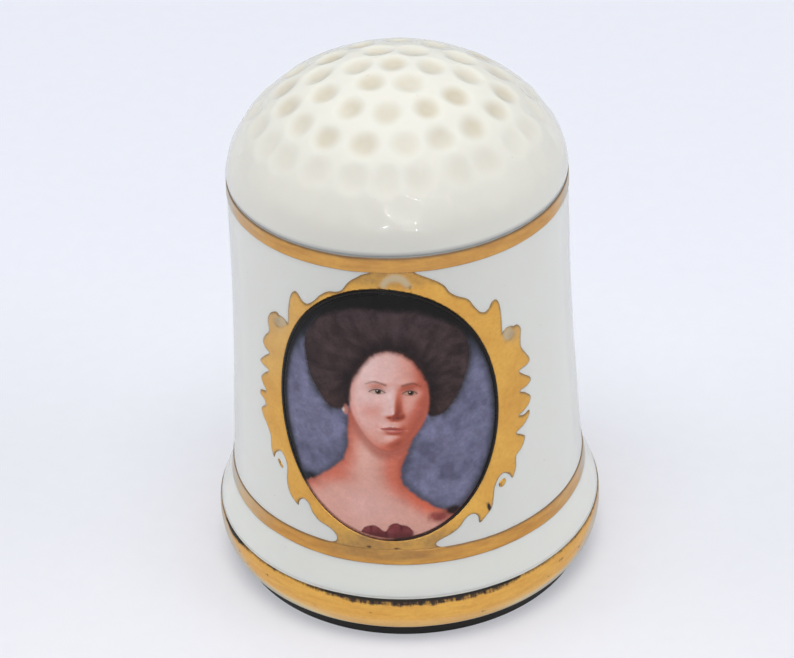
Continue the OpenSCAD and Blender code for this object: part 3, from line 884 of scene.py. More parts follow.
def build_frame():
    left = smooth_curve(SCROLL_L, 6, closed=False)
    right = smooth_curve(SCROLL_R, 6, closed=False)
    outer = np.vstack([left, right[::-1]])
    oval = oval_loop()
    sweep = np.linspace(math.radians(11), math.radians(169), 40)
    arch = np.vstack([ellipse(ARCH_U, ARCH_Z, 0.80, 0.89, sweep),
                      ellipse(ARCH_U - 0.02, ARCH_Z + 0.02, 0.47, 0.42, sweep[::-1])])
    dot_l, dot_r = smooth_curve(DOT_L, 5), smooth_curve(DOT_R, 5)
    # the eyes of the two top curls hold a thin rubbed film of gold
    circle = np.arange(28) / 28 * TAU
    eye_l = ellipse(-5.69, 17.38, 0.50, 0.37, circle)
    eye_r = ellipse(6.60, 16.68, 0.47, 0.40, circle)
    extras = [dot_l, dot_r, eye_l, eye_r]

    def keep(points):
        kept = inside(points, outer) & ~inside(points, oval)
        for loop in extras:
            kept |= inside(points, loop)
        return kept

    obj, place, rim_gap = sheet(
        "gilt_scroll_frame", [outer, oval, arch] + extras, keep, under=-0.004, upper=0.05,
        spacing=0.1, step=0.07, bevel=0.14, lump=0.006, seed=61)
    u, z = place.T
    outer_gap = signed_gap(place, outer)
    eye_gap = np.maximum(np.minimum(signed_gap(place, eye_l), signed_gap(place, eye_r)),
                         -outer_gap)
    film_gap = np.minimum(signed_gap(place, arch), eye_gap)
    # inside the arch and the eyes only a thin film of gold is left
    half = len(place) // 2
    thin = fade(0.05, -0.05, film_gap[:half])[:, None]
    verts = np.array([vertex.co[:] for vertex in obj.data.vertices])
    verts[:half] = verts[:half] * (1 - thin) + on_wall(place[:half], 0.006) * thin
    obj.data.vertices.foreach_set("co", verts.ravel())
    obj.data.update()
    # darker and browner low down: painted shade; rubbed at the two top curls
    clouds = mottle(place * 0.9, 3, 71)
    low = fade(8.4, 6.0, z) * 0.42
    curls = blobs(u, z, [(1, -5.95, 17.35, 0.42, 0.42), (1, 6.85, 16.6, 0.42, 0.42)])
    tips = blobs(u, z, FRAME_TIPS) * (1 + 0.5 * mottle(place * 5.0, 3, 73))
    in_l, in_r = inside(place, dot_l), inside(place, dot_r)
    dots = in_l * 0.30 + in_r * 0.42 * fade(6.0, 5.62, u) * fade(8.6, 8.2, z)
    dots = dots + 0.12 * (in_l | in_r)
    crest = fade(19.9, 20.9, z) * fade(3.4, 2.0, np.abs(u - 0.7))
    film = fade(0.07, -0.07, film_gap)
    tarnish_and_shade = 0.10 + 0.10 * clouds + tips + dots + 0.25 * low + 0.14 * crest * (1 - film)
    # painted reflection: paler on the upper left; the curls and the thin film are rubbed gold
    pale = 0.25 * fade(-2.0, -6.0, u) * fade(12, 17, z) + 0.40 * unit(curls)
    seam_and_shade = fade(0.26, 0.0, rim_gap) * (0.35 + 0.65 * fade(0.2, 0.05, np.abs(outer_gap)))
    # the last two: browner low down where it runs into the lower band, painted shade, and thin brown
    # gold where it runs into the upper band
    for more in (np.clip(curls * 0.55, 0, 0.6),
                 0.42 * fade(0.16, 0.02, np.abs(film_gap)),
                 (0.70 + 0.25 * clouds) * fade(7.6, 5.9, z),
                 (0.66 + 0.20 * clouds) * fade(20.2, 20.95, z) * (1 - film)):
        seam_and_shade = np.maximum(seam_and_shade, more)
    paint_wear_and_light(obj, seam_and_shade, tarnish_and_shade, np.maximum(pale, 0.95 * film))
    return obj


# ------------------------------------------------------- the enamel miniature
# outlines of the dressed hair, the neck and shoulders, and the dress: (u, z)
HAIR = smooth_curve([
    (-4.06, 15.60), (-4.16, 16.30), (-4.20, 16.85), (-3.92, 17.70), (-3.47, 18.42),
    (-2.93, 19.05), (-1.95, 19.78), (-0.28, 20.22), (1.18, 20.12), (2.45, 19.62), (3.40, 18.82),
    (4.05, 17.80), (4.33, 16.75), (4.28, 15.91), (4.02, 15.06), (3.70, 14.34), (3.26, 13.66),
    (2.84, 13.28), (2.42, 13.16), (2.05, 13.4), (1.7, 14.2), (0.2, 14.4), (-1.5, 14.2),
    (-1.9, 13.75), (-2.2, 13.54), (-2.5, 13.43), (-2.84, 13.50), (-3.14, 13.78),
    (-3.52, 14.32), (-3.86, 14.88)], 8)
BUST = smooth_curve([
    (-1.60, 14.0), (-1.84, 13.5), (-1.90, 12.9), (-1.95, 11.9), (-2.06, 11.02), (-2.38, 10.44),
    (-2.92, 9.87), (-3.48, 9.37), (-4.05, 8.92), (-5.2, 8.15), (-5.6, 6.5), (-4.0, 5.4),
    (0.0, 5.2), (4.0, 5.4), (5.2, 7.0), (4.2, 7.40), (3.2, 7.66), (2.6, 7.78), (2.12, 8.02),
    (1.56, 8.52), (1.06, 9.05), (0.76, 9.45), (0.66, 9.95), (0.74, 10.5), (0.98, 11.1),
    (1.3, 12.4), (0.8, 13.2), (-0.6, 13.4)], 8)
DRESS = smooth_curve([
    (-1.40, 6.30), (-1.25, 6.66), (-1.03, 6.88), (-0.83, 6.94), (-0.59, 6.83), (-0.40, 6.66),
    (-0.21, 6.64), (-0.03, 6.88), (0.25, 7.07), (0.54, 7.05), (0.86, 6.90), (1.08, 6.66),
    (1.30, 6.50), (1.62, 6.60), (1.82, 6.95), (1.82, 7.20), (1.92, 7.54), (2.22, 7.78),
    (2.52, 7.72), (2.72, 7.84), (3.02, 7.90), (3.34, 7.78), (3.6, 7.55), (4.3, 7.7),
    (4.6, 6.6), (2.0, 5.2), (-1.6, 5.2)], 6)
# lower edge of the darkest hair: u, z
CROWN_U = [-5.0, -4.13, -3.1, -1.87, -0.9, 0.0, 0.93, 1.85, 2.77, 3.71, 4.28, 5.0]
CROWN_Z = [16.6, 17.7, 18.67, 19.28, 19.38, 19.34, 19.31, 19.14, 18.76, 18.04, 17.36, 16.5]

# The face has its own frame: x across, y up, from its middle. Hairline, brow, nose and
# chin are in equal thirds, and the oval stands 1.45 times as tall as wide.
FACE_U, FACE_Z, FACE_TILT = 0.20, 14.20, math.radians(-3.0)
FACE_W, FACE_H = 2.00, 3.20                  # half width and half height
FACE_STRETCH = 1.45 * FACE_W / FACE_H
MID = 0.20                                   # middle line of the face, turned a little
BROW_Y, EYE_Y, NOSE_Y, LIP_Y = FACE_H / 3, FACE_H / 6, -FACE_H / 3, -FACE_H * 5 / 9
EYES = [(-1, MID - 0.80, 0.40), (1, MID + 0.80, 0.36)]     # side, x, half width

# hills on the face: height, x, y, half x, half y
FACE_HILLS = [
    (0.17, MID + 0.05, -0.80, 0.24, 0.20),                                     # nose tip
    (0.11, MID - 0.30, -0.90, 0.16, 0.15), (0.11, MID + 0.38, -0.90, 0.15, 0.15),
    (0.07, MID - 0.80, BROW_Y + 0.08, 0.60, 0.20),                             # brows
    (0.07, MID + 0.80, BROW_Y + 0.08, 0.52, 0.20),
    (0.13, -1.02, -0.45, 0.55, 0.55), (0.13, 1.30, -0.45, 0.45, 0.55),         # cheeks
    (0.12, MID, LIP_Y, 0.62, 0.50), (0.17, MID - 0.02, -2.58, 0.42, 0.34),     # mouth, chin
    (0.060, MID - 0.15, LIP_Y + 0.10, 0.22, 0.09),                             # lips
    (0.060, MID + 0.15, LIP_Y + 0.10, 0.20, 0.09),
    (0.075, MID, LIP_Y - 0.13, 0.34, 0.12), (-0.040, MID, LIP_Y, 0.55, 0.05),
    (-0.060, MID, LIP_Y - 0.38, 0.36, 0.14), (-0.014, MID, LIP_Y + 0.40, 0.13, 0.22),
    (-0.022, MID - 0.68, LIP_Y, 0.17, 0.18), (-0.022, MID + 0.62, LIP_Y, 0.16, 0.18)]
for _, eye_x, eye_half in EYES:              # socket, then eyeball
    FACE_HILLS += [(-0.30, eye_x, EYE_Y + 0.05, eye_half * 1.25, 0.32),
                   (0.17, eye_x, EYE_Y, eye_half * 0.85, 0.20)]

# eyelids and brow: x in half widths of the eye (for the brow, outwards), y from its middle
UPPER_LID = [(-1, -0.02), (-0.5, 0.125), (0, 0.165), (0.5, 0.13), (1, 0.0)]
LOWER_LID = [(1, 0.0), (0.45, -0.105), (0, -0.130), (-0.5, -0.10), (-1, -0.02)]
BROW = [(-1.02, -0.07), (-0.30, 0.05), (0.55, 0.09), (1.45, -0.10)]
# lips: x from the middle line, y from where they meet
UPPER_LIP = [(-0.58, 0), (-0.30, 0.11), (-0.09, 0.17), (0, 0.14), (0.09, 0.17), (0.28, 0.11),
             (0.52, 0), (0.2, -0.02), (-0.25, -0.02)]
LOWER_LIP = [(-0.56, -0.005), (-0.2, -0.02), (0.2, -0.02), (0.50, -0.005), (0.27, -0.18),
             (-0.02, -0.24), (-0.31, -0.18)]
LIP_PARTING = [(-0.57, 0.005), (-0.2, -0.02), (0, -0.005), (0.2, -0.02), (0.51, 0.005)]
# outlines of the raised strokes, in the same measures
BROW_MARK = [(-1.12, -0.11), (-0.32, 0.14), (0.55, 0.18), (1.52, -0.10), (0.55, 0.01),
             (-0.30, -0.04)]
LIPS_MARK = [(-0.62, 0), (-0.30, 0.14), (0, 0.20), (0.28, 0.14), (0.56, 0), (0.27, -0.21),
             (-0.02, -0.27), (-0.31, -0.21)]
NOSE_MARK = [(-0.28, 0.02), (0.03, 0.08), (0.34, 0.02), (0.03, -0.07)]


def placed(x, y, points, width=1.0):
    """Points about (x, y), their x scaled by width."""
    return np.array([(x + across * width, y + up) for across, up in points])


def to_face(points):
    x, y = points[:, 0] - FACE_U, points[:, 1] - FACE_Z
    cos, sin = math.cos(FACE_TILT), math.sin(FACE_TILT)
    return x * cos + y * sin, (-x * sin + y * cos) / FACE_STRETCH


def from_face(points):
    cos, sin = math.cos(FACE_TILT), math.sin(FACE_TILT)
    x, up = points[:, 0], points[:, 1] * FACE_STRETCH
    return np.column_stack([FACE_U + x * cos - up * sin, FACE_Z + x * sin + up * cos])


def face_loop():
    """The face's outline, narrowing towards the chin."""
    angle = np.arange(160) / 160 * TAU
    y = FACE_H * np.sin(angle)
    narrowing = 1 - 0.20 * unit(-y / FACE_H) ** 1.5
    return from_face(np.column_stack([FACE_W * np.cos(angle) * narrowing, y]))


FACE = face_loop()
EAR = from_face(np.array([(-FACE_W - 0.15, NOSE_Y + 0.2)]))[0]


def relief(x, y):
    """Height of a plain modelled head over the face's own plane."""
    skull = 2.1 * np.sqrt(np.clip(1 - (x / 2.35) ** 2 - (y / 3.75) ** 2, 0.02, 1))
    nose = (bell(x, MID + 0.03, 0.29) * (0.09 + 0.34 * fade(0.80, -0.70, y))
            * fade(1.0, 0.4, y) * fade(-1.34, -0.82, y))
    return skull + nose + blobs(x, y, FACE_HILLS)


def stroke(points, path, widths, soft):
    """Soft mask of a tapered brush stroke; half widths at its start, middle and end."""
    path = smooth_curve(path, 8, closed=False)
    gap, number, share = segment_distance(points, path[:-1], path[1:])
    lengths = arc_lengths(path)
    along = (lengths[number] + share * np.diff(lengths)[number]) / lengths[-1]
    width = np.interp(along, [0, 0.5, 1], widths)
    return fade(width + soft, width - soft, gap)


def spot(points, centre, radii, soft):
    ratio = np.hypot(*((points - centre) / radii).T)
    return fade(1 + soft, 1 - soft, ratio)


class Canvas:
    """Points to be painted, with the noises and distances the layers share."""

    def __init__(self, points):
        self.points = points
        self.u, self.z = u, z = points.T
        self.flat = flat = np.column_stack([points, np.zeros(len(points))])
        self.big = mottle(flat * 0.75, 4, 101)
        self.mid = mottle(flat * 2.6, 4, 111)
        self.fine = mottle(flat * 9.0, 3, 121)
        self.depth = oval_depth(points)
        shake = np.column_stack([mottle(flat * 5.0, 3, 131), mottle(flat * 5.0, 3, 141)])
        self.shaken = points + shake * 0.07
        self.hair_gap = signed_gap(self.shaken, HAIR)
        self.bust_gap = signed_gap(self.shaken, BUST)
        self.face_gap = signed_gap(points, FACE)
        # locks of hair follow the sweep round this point
        angle = np.arctan2(z - 15.6, u - 0.1)
        radius = np.hypot(u - 0.1, z - 15.6)
        sweep = np.column_stack([radius * 1.5, angle * 9.0 + 0.9 * np.sin(radius * 1.4), 0 * u])
        self.locks = mottle(sweep + 0.5 * flat, 4, 161)


def paint_ground(at):
    """Mottled slate blue, lighter low down at both sides and dark round the figure."""
    u, z, mid, depth = at.u, at.z, at.mid, at.depth
    coat = Coat(mix((92, 93, 120), (120, 119, 146), 0.5 + 0.55 * mid + 0.35 * at.big))
    light = blobs(u, z, [(1, 2.6, 10.8, 1.6, 2.4), (0.8, -3.6, 12.6, 1.0, 2.2)])
    coat.lay((124, 122, 148), unit(light * (0.45 + 0.3 * mid)))
    coat.lay((88, 84, 108), fade(0.05, 0.5, mid) * 0.45)
    coat.lay((104, 112, 130), fade(0.15, 0.6, mottle(at.flat * 3.3 + 5, 3, 151)) * 0.35)
    halo = np.minimum(np.minimum(at.hair_gap, at.bust_gap), at.face_gap)
    coat.lay((62, 66, 76), fade(0.42, 0.0, halo) * 0.75)
    coat.lay((38, 42, 48), fade(0.72, 0.15, depth + 0.10 * mid) * 0.85)
    coat.lay((46, 49, 58), fade(15.6, 17.0, z + 0.2 * mid) * 0.75)
    coat.lay((24, 25, 26), fade(16.7, 17.9, z + 0.2 * mid) * 0.97)
    patches = mottle(at.flat * 1.15 + 7.7, 3, 155)
    coat.lay((72, 72, 96), fade(0.05, 0.45, patches) * fade(0.3, 0.9, depth) * 0.55)
    coat.lay((132, 132, 164), fade(0.05, 0.5, -patches) * fade(0.4, 1.0, depth) * 0.5)
    coat.lay((30, 34, 40), unit(blob(u, z, -4.02, 9.10, 0.50, 0.32) * 1.1))
    return coat.rgb


def paint_hair(at):
    """Dark bouffant, almost black above the crown line."""
    u, z, locks = at.u, at.z, at.locks
    crown = np.interp(u, CROWN_U, CROWN_Z)
    coat = Coat(mix((50, 37, 38), (74, 57, 59), 0.5 + 0.8 * locks))
    coat.lay((76, 61, 64), fade(1.3, 0.2, crown - z) * fade(3.6, 1.5, np.abs(u - 0.3))
             * (0.45 + 0.5 * locks))
    coat.lay((80, 56, 52), fade(15.2, 13.4, z) * (0.5 + 0.4 * locks))
    coat.lay((38, 27, 28), fade(0.95, 0.05, at.face_gap + 0.12 * locks) * 0.80)
    coat.lay((92, 76, 80), blob(u, z, 0.75, 18.15, 0.5, 0.40) * 0.30)
    coat.lay((40, 33, 34), fade(-0.26, 0.02, at.hair_gap) * 0.6)
    coat.lay((21, 19, 18), fade(-0.28, 0.22, z - crown + 0.16 * at.mid + 0.12 * locks) * 0.97)
    return coat.shade(0.10 * at.fine)


def paint_bust(at):
    """Neck, shoulders and chest: light first, then the warm shadows."""
    u, z, gap = at.u, at.z, at.bust_gap
    coat = Coat(mix((213, 158, 144), (224, 176, 165), fade(-0.1, 0.6, at.big) * 0.6))
    coat.lay((232, 180, 166), blob(u, z, -1.1, 11.2, 0.5, 1.5) * 0.85)
    coat.lay((222, 174, 164), blob(u, z, -0.9, 8.1, 1.6, 1.1) * 0.8)
    coat.lay((210, 106, 80), fade(-1.0, -0.10, gap) * (0.62 + 0.25 * at.mid))
    coat.lay((172, 88, 68), fade(-0.42, -0.02, gap) * 0.55)
    shoulder = blob(u, z + 0.55 * (u - 1.7), 1.7, 8.5, 1.15, 0.75)
    coat.lay((210, 104, 76), np.clip(shoulder * 1.05, 0, 0.85))
    coat.lay((204, 106, 82), np.clip(blob(u, z, 0.35, 10.3, 0.62, 1.3), 0, 0.80))
    coat.lay((158, 72, 58), blob(u, z, 0.72, 10.2, 0.26, 1.2) * 0.6)
    coat.lay((204, 108, 86), blob(u, z, -2.6, 9.75, 0.9, 0.55) * 0.80)
    coat.lay((172, 96, 80), fade(1.40, 0.35, at.depth) * fade(8.4, 9.1, z) * 0.85)
    # cast shadow of the jaw on the neck
    jaw = signed_gap(at.points + np.array([0.10, 0.34]), FACE)
    coat.lay((172, 88, 72), fade(0.34, -0.15, jaw) * 0.72)
    coat.lay((150, 84, 72), fade(-0.14, 0.0, gap) * 0.55)
    return coat.shade(0.05 * at.fine + 0.04 * at.mid)


def paint_eye(coat, q, eye_x, half, white):
    """An eye; q holds the points in the face's frame."""
    x, y = q.T
    upper = placed(eye_x, EYE_Y, UPPER_LID, half)
    lower = placed(eye_x, EYE_Y, LOWER_LID, half)
    almond = np.vstack([smooth_curve(upper, 6, closed=False),
                        smooth_curve(lower, 6, closed=False)[1:-1]])
    gap = signed_gap(q, almond)
    within = fade(0.03, -0.02, gap)
    iris = np.hypot(x - (eye_x + 0.05), y - (EYE_Y + 0.03))
    glint = np.hypot(x - eye_x, y - (EYE_Y + 0.085))
    coat.lay(white, fade(0.035, -0.035, gap) * 0.92)
    coat.lay((150, 112, 100), within * fade(0.02, 0.14, y - EYE_Y) * 0.6)
    coat.lay((80, 56, 42), fade(0.170, 0.130, iris) * within)
    coat.lay((24, 18, 16), fade(0.090, 0.060, iris) * within)
    coat.lay((240, 236, 230), fade(0.040, 0.020, glint) * 0.9)
    coat.lay((62, 38, 33), stroke(q, upper, [0.022, 0.040, 0.026], soft=0.040) * 0.92)
    coat.lay((150, 90, 78), stroke(q, lower, [0.012, 0.015, 0.012], soft=0.028) * 0.6)
    fold = upper + np.array([0, 0.115])
    coat.lay((132, 78, 66), stroke(q, fold, [0.006, 0.020, 0.010], soft=0.034) * 0.6)


def paint_mouth(coat, q):
    """Lips: a cupid's bow above, fuller below, calm and closed."""
    upper = smooth_curve(placed(MID, LIP_Y, UPPER_LIP), 6)
    lower = smooth_curve(placed(MID, LIP_Y, LOWER_LIP), 6)
    coat.lay((164, 76, 68), fade(0.04, -0.03, signed_gap(q, upper)) * 0.8)
    coat.lay((192, 98, 88), fade(0.04, -0.03, signed_gap(q, lower)) * 0.8)
    coat.lay((226, 158, 148), spot(q, (MID - 0.07, LIP_Y - 0.11), (0.17, 0.05), 0.9) * 0.5)
    parting = placed(MID, LIP_Y, LIP_PARTING)
    coat.lay((108, 44, 42), stroke(q, parting, [0.012, 0.017, 0.012], soft=0.024) * 0.85)


def paint_face(at):
    """The modelled relief lit from the upper left, then flesh tones laid over."""
    x, y = to_face(at.points)
    q = np.column_stack([x, y])
    eps = 0.02
    slope_x = (relief(x + eps, y) - relief(x - eps, y)) / (2 * eps)
    slope_y = (relief(x, y + eps) - relief(x, y - eps)) / (2 * eps)
    lit = (0.52 * slope_x - 0.42 * slope_y + 0.74) / np.sqrt(slope_x**2 + slope_y**2 + 1)
    coat = Coat(mix((146, 66, 52), (196, 104, 82), fade(-0.05, 0.42, lit)))
    coat.lay((222, 160, 146), fade(0.28, 0.66, lit))
    coat.lay((231, 188, 181), fade(0.60, 0.90, lit))
    coat.lay((240, 208, 203), fade(0.93, 1.02, lit) * 0.8)
    blush = blobs(x, y, [(1, -1.05, -0.62, 0.5, 0.42), (1, 1.30, -0.62, 0.42, 0.42)])
    coat.lay((212, 118, 104), unit(blush) * 0.38)
    coat.lay((206, 112, 90), fade(-0.42, 0.0, at.face_gap) * 0.45)
    coat.lay((196, 104, 84), fade(0.45, 1.0, x / FACE_W) * 0.35)
    for side, eye_x, half in EYES:
        socket = spot(q, (eye_x, EYE_Y + 0.20), (half * 1.2, 0.24), 0.8)
        coat.lay((172, 100, 86), socket * 0.35)
        brow = placed(eye_x, BROW_Y, BROW, side * half)
        coat.lay((98, 62, 52), stroke(q, brow, [0.050, 0.060, 0.012], soft=0.075) * 0.72)
    for (_, eye_x, half), white in zip(EYES, ((196, 170, 158), (182, 140, 124))):
        paint_eye(coat, q, eye_x, half, white)
    # nostrils and the shadow under the tip
    coat.lay((122, 58, 48), spot(q, (MID - 0.17, NOSE_Y + 0.03), (0.11, 0.05), 0.6) * 0.8)
    coat.lay((112, 52, 44), spot(q, (MID + 0.24, NOSE_Y + 0.03), (0.11, 0.05), 0.6) * 0.8)
    under_tip = placed(MID, NOSE_Y, [(-0.26, -0.05), (0.03, -0.10), (0.32, -0.05)])
    coat.lay((172, 94, 78), stroke(q, under_tip, [0.02, 0.05, 0.02], soft=0.06) * 0.5)
    paint_mouth(coat, q)
    coat.lay((150, 80, 66),
             fade(-0.12, 0.02, at.face_gap) * fade(-0.15, -0.6, y / FACE_H) * 0.6)
    return coat.shade(0.045 * at.fine + 0.03 * at.mid)


def paint_wisps(coat, at):
    """Wisps of hair over the temples and hairline."""
    up = to_face(at.points)[1] / FACE_H
    gap = at.face_gap + 0.10 * mottle(at.flat * 1.6, 3, 191) + 0.06 * at.locks
    near = fade(0.16, 0.02, at.face_gap)
    top = fade(-0.34, 0.03, gap) * fade(0.10, 0.55, up)
    coat.lay((50, 34, 34), top * near * 0.94)
    side = fade(-0.16, 0.02, gap) * fade(-0.35, 0.1, up) * fade(-0.05, 0.05, 0.05 - at.hair_gap)
    coat.lay((50, 34, 34), side * near * 0.85)


def paint_dress(coat, at):
    """Scalloped burgundy edge, and a loose frill running into the dark at the right."""
    u, z, mid = at.u, at.z, at.mid
    ruffle = np.abs(np.sin(4.3 * u + 0.75))
    gap = signed_gap(at.shaken * 0.5 + at.points * 0.5, DRESS) + 0.075 * (0.62 - ruffle)
    cloth = Coat(mix((106, 44, 48), (138, 68, 70), 0.5 + 0.8 * mid))
    cloth.lay((78, 30, 34), fade(-0.10, 0.0, gap) * 0.6)
    cloth.lay((70, 26, 32), fade(0.38, 0.08, ruffle) * fade(-0.55, -0.12, gap) * 0.65)
    cloth.lay((74, 32, 34), fade(6.72, 6.35, z) * 0.6)
    right = fade(1.06, 1.24, u)
    coat.lay(cloth.rgb, fade(0.03, -0.03, gap) * (1 - right))
    frill = (fade(1.35, 1.6, u) * blob(u, z, 2.22, 7.40, 0.36, 0.26)
             + 0.7 * blob(u, z, 2.62, 7.28, 0.34, 0.30))
    dusk = blobs(u, z, [(1, 3.05, 7.62, 0.36, 0.22), (1, 3.4, 7.55, 0.34, 0.3)])
    within = fade(0.10, -0.06, gap)
    loose = unit(frill * (1.15 + 0.7 * mid)) * right * within
    coat.lay(mix((156, 78, 70), (124, 54, 52), 0.5 + mid), loose * 0.95)
    coat.lay((46, 30, 30), unit(dusk * 1.2) * right * within)


def paint(points):
    """Colour of the miniature at points (u, z), scene linear."""
    at = Canvas(points)
    u, z, depth = at.u, at.z, at.depth
    coat = Coat(paint_ground(at))
    coat.lay(paint_hair(at), fade(0.10, -0.10, at.hair_gap))
    coat.lay(paint_bust(at), fade(0.06, -0.08, at.bust_gap))
    # ear lobe showing under the hair
    coat.lay((196, 124, 108), spot(points, EAR, (0.13, 0.28), 0.4) * 0.85)
    coat.lay((238, 206, 190), spot(points, (-2.11, 13.50), (0.06, 0.13), 0.6) * 0.8)
    coat.lay(paint_face(at), fade(0.07, -0.07, at.face_gap))
    paint_wisps(coat, at)
    paint_dress(coat, at)
    # darker edge of the oval: brown low down, black above
    coat.lay((92, 52, 42), fade(0.26, 0.14, depth) * fade(10.0, 8.0, z)
             * (0.35 + 0.5 * fade(-0.5, 1.0, u)))
    wide = 0.20 * fade(-2.4, -4.6, u) * fade(8.8, 10.6, z)
    coat.lay((20, 18, 18), fade(0.36 + wide, 0.14 + 0.6 * wide, depth) * fade(8.0, 10.0, z) * 0.95)
    bright = fade(0.012, 0.05, coat.rgb.mean(1))
    return unit(coat.rgb * (0.86 + 0.30 * bright)[:, None])


def build_outline(coarse):
    """The dark line round the oval, brown at the lower left."""
    def keep(points):
        depth = oval_depth(points)
        return (depth > 0) & (depth <= LINE_W)

    obj, place, _ = sheet("miniature_line", [oval_loop(), oval_loop(LINE_W)], keep,
                          under=-0.004, upper=0.0355, spacing=0.08 * coarse, step=0.06)
    u, z = place.T
    coat = Coat(mix((17, 15, 14), (28, 23, 21), 0.5 + 0.5 * mottle(place * 3.0, 3, 171)))
    brown = fade(9.0, 8.1, z) * fade(0.6, -0.6, u)
    coat.lay((104, 62, 46), brown * 0.85)
    coat.lay((186, 124, 108), brown * fade(0.05, 0.13, oval_depth(place)) * 0.8)
    coat.lay((62, 36, 30), fade(7.6, 6.8, z) * fade(0.0, 0.8, u) * 0.8)
    paint_points(obj, "paint", coat.rgb)
    return obj


def feature_marks():
    """Outlines of the strokes that stand on the flesh: eyes, brows, lips and nose."""
    marks = []
    for side, eye_x, half in EYES:
        reach = half + 0.04
        eye = [(-reach, -0.02), (-half * 0.5, 0.17), (0, 0.21), (half * 0.5, 0.17),
               (reach, -0.005), (half * 0.45, -0.14), (0, -0.16), (-half * 0.5, -0.135)]
        marks += [placed(eye_x, EYE_Y, eye), placed(eye_x, BROW_Y, BROW_MARK, side * half)]
    marks += [placed(MID, LIP_Y, LIPS_MARK), placed(MID, NOSE_Y, NOSE_MARK)]
    return [smooth_curve(from_face(mark), 6) for mark in marks]


def build_miniature():
    coarse = 1.0
    made = {"line": build_outline(coarse)}
    border = oval_loop(LINE_W)
    marks = feature_marks()

    def in_oval(points):
        return oval_depth(points) > LINE_W

    def in_skin(points):
        return inside(points, BUST) | inside(points, FACE)

    def in_hair_piece(points):
        return in_oval(points) & inside(points, HAIR) & ~in_skin(points)

    def in_flesh_piece(points):
        return in_oval(points) & in_skin(points) & ~inside(points, DRESS)

    def in_dress_piece(points):
        return in_oval(points) & inside(points, DRESS) & inside(points, BUST)

    def in_marks(points):
        return np.any([inside(points, mark) for mark in marks], axis=0)

    # name, loops, which points belong, under and upper height, grid spacing, border step
    for name, loops, keep, under, upper, spacing, step in (
            ("ground", [border], in_oval, -0.004, 0.0325, 0.085, 0.08),
            ("hair", [border, HAIR, BUST, FACE], in_hair_piece, 0.026, 0.0355, 0.07, 0.07),
            ("flesh", [border, DRESS, BUST, FACE], in_flesh_piece, 0.026, 0.036, 0.05, 0.06),
            ("dress", [border, DRESS, BUST], in_dress_piece, 0.026, 0.0362, 0.055, 0.05),
            ("strokes", marks, in_marks, 0.036, 0.042, 0.035, 0.035)):
        obj, place, _ = sheet("miniature_" + name, loops, keep, under, upper,
                              spacing * coarse, step * coarse)
        paint_points(obj, "paint", paint(place))
        made[name] = obj
    return made


# -------------------------------------------------------------------- assemble
body = build_body()
upper_band = build_upper_band()
lower_band = build_lower_band()
foot_band = build_foot_band()
foot_line = build_foot_line()
scroll_frame = build_frame()
mini = build_miniature()

porcelain = porcelain_material()
gold_band = gold_material(
    "gilding_band", base=(221, 167, 86), dull=(194, 138, 76), stretch=(1, 1, 5),
    speckle=0.35, rubbed_and_sheen=(214, 190, 150))
gold_foot = gold_material(
    "gilding_foot", base=(238, 184, 84), dull=(222, 160, 70), stretch=(1, 1, 6),
    speckle=0.55, rubbed_and_sheen=(252, 226, 168))
gold_frame = gold_material(
    "gilding_frame", base=(234, 183, 92), dull=(220, 164, 82), stretch=(1, 1, 1),
    speckle=0.25, rubbed_and_sheen=(198, 180, 148))
# the foot ring's coat: near-black painted shade
foot_shade_coat = enamel_material("foot_line", grain=0.12, rough=0.6, specular=0.1, coat=0.0)

# object, material, node it replaces, slot
pieces = [
    (body, porcelain, "porcelain_body", "porcelain"),
    (upper_band, gold_band, "upper_gilt_band", "gilding"),
    (lower_band, gold_band, "lower_gilt_band", "gilding"),
    (foot_band, gold_foot, "foot_gilt_band", "gilding"),
    (foot_line, foot_shade_coat, "foot_edge_line", "foot_line"),
    (scroll_frame, gold_frame, "gilt_frame", "gilding")]
# part of the miniature, node it replaces, slot and material name, grain, roughness
for part, nodes, slot, grain, rough in (
        ("line", "portrait_outline", "enamel_line", 0.12, 0.26),
        ("ground", "portrait_background", "enamel_blue", 0.12, 0.26),
        ("hair", "portrait_hair", "enamel_hair", 0.14, 0.28),
        ("flesh", "portrait_skin", "enamel_flesh", 0.05, 0.26),
        ("strokes", "portrait_features", "enamel_strokes", 0.05, 0.26),
        ("dress", "portrait_dress", "enamel_dress", 0.12, 0.26)):
    pieces.append((mini[part], enamel_material(slot, grain, rough), nodes, slot))

for obj, material, nodes, slot in pieces:
    obj.data.materials.append(material)
    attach(obj, "root")
    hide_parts(nodes)

# ------------------------------------------------------------- floor and world
FLOOR_HALF = 1.2
floor_corners = np.array([(-1, -1, 0), (1, -1, 0), (1, 1, 0), (-1, 1, 0)]) * FLOOR_HALF
floor = new_object("floor", floor_corners, [(0, 1, 2, 3)], smooth=False)
floor.data.materials.append(floor_material())


def build_world():
    """A dim even sky for lighting, and a brighter one, graded upwards, for reflections."""
    world = bpy.data.worlds.new("world")
    bpy.context.scene.world = world
    world.use_nodes = True
    g = Graph(world.node_tree)
    is_glossy = g.add("ShaderNodeLightPath").outputs["Is Glossy Ray"]
    up = g.xyz(g.add("ShaderNodeTexCoord").outputs["Generated"])[2]
    sky = g.ramp(up, (0.0, 0.42), (0.25, 0.62), (0.75, 0.80), (1.0, 0.86))
    strength = g.add("ShaderNodeMix", {0: is_glossy, 2: 0.155, 3: g.mul(sky, 0.85)})
    g.fill(world.node_tree.nodes["Background"],
           {0: (0.90, 0.94, 1.0, 1), 1: strength.outputs[0]})


build_world()


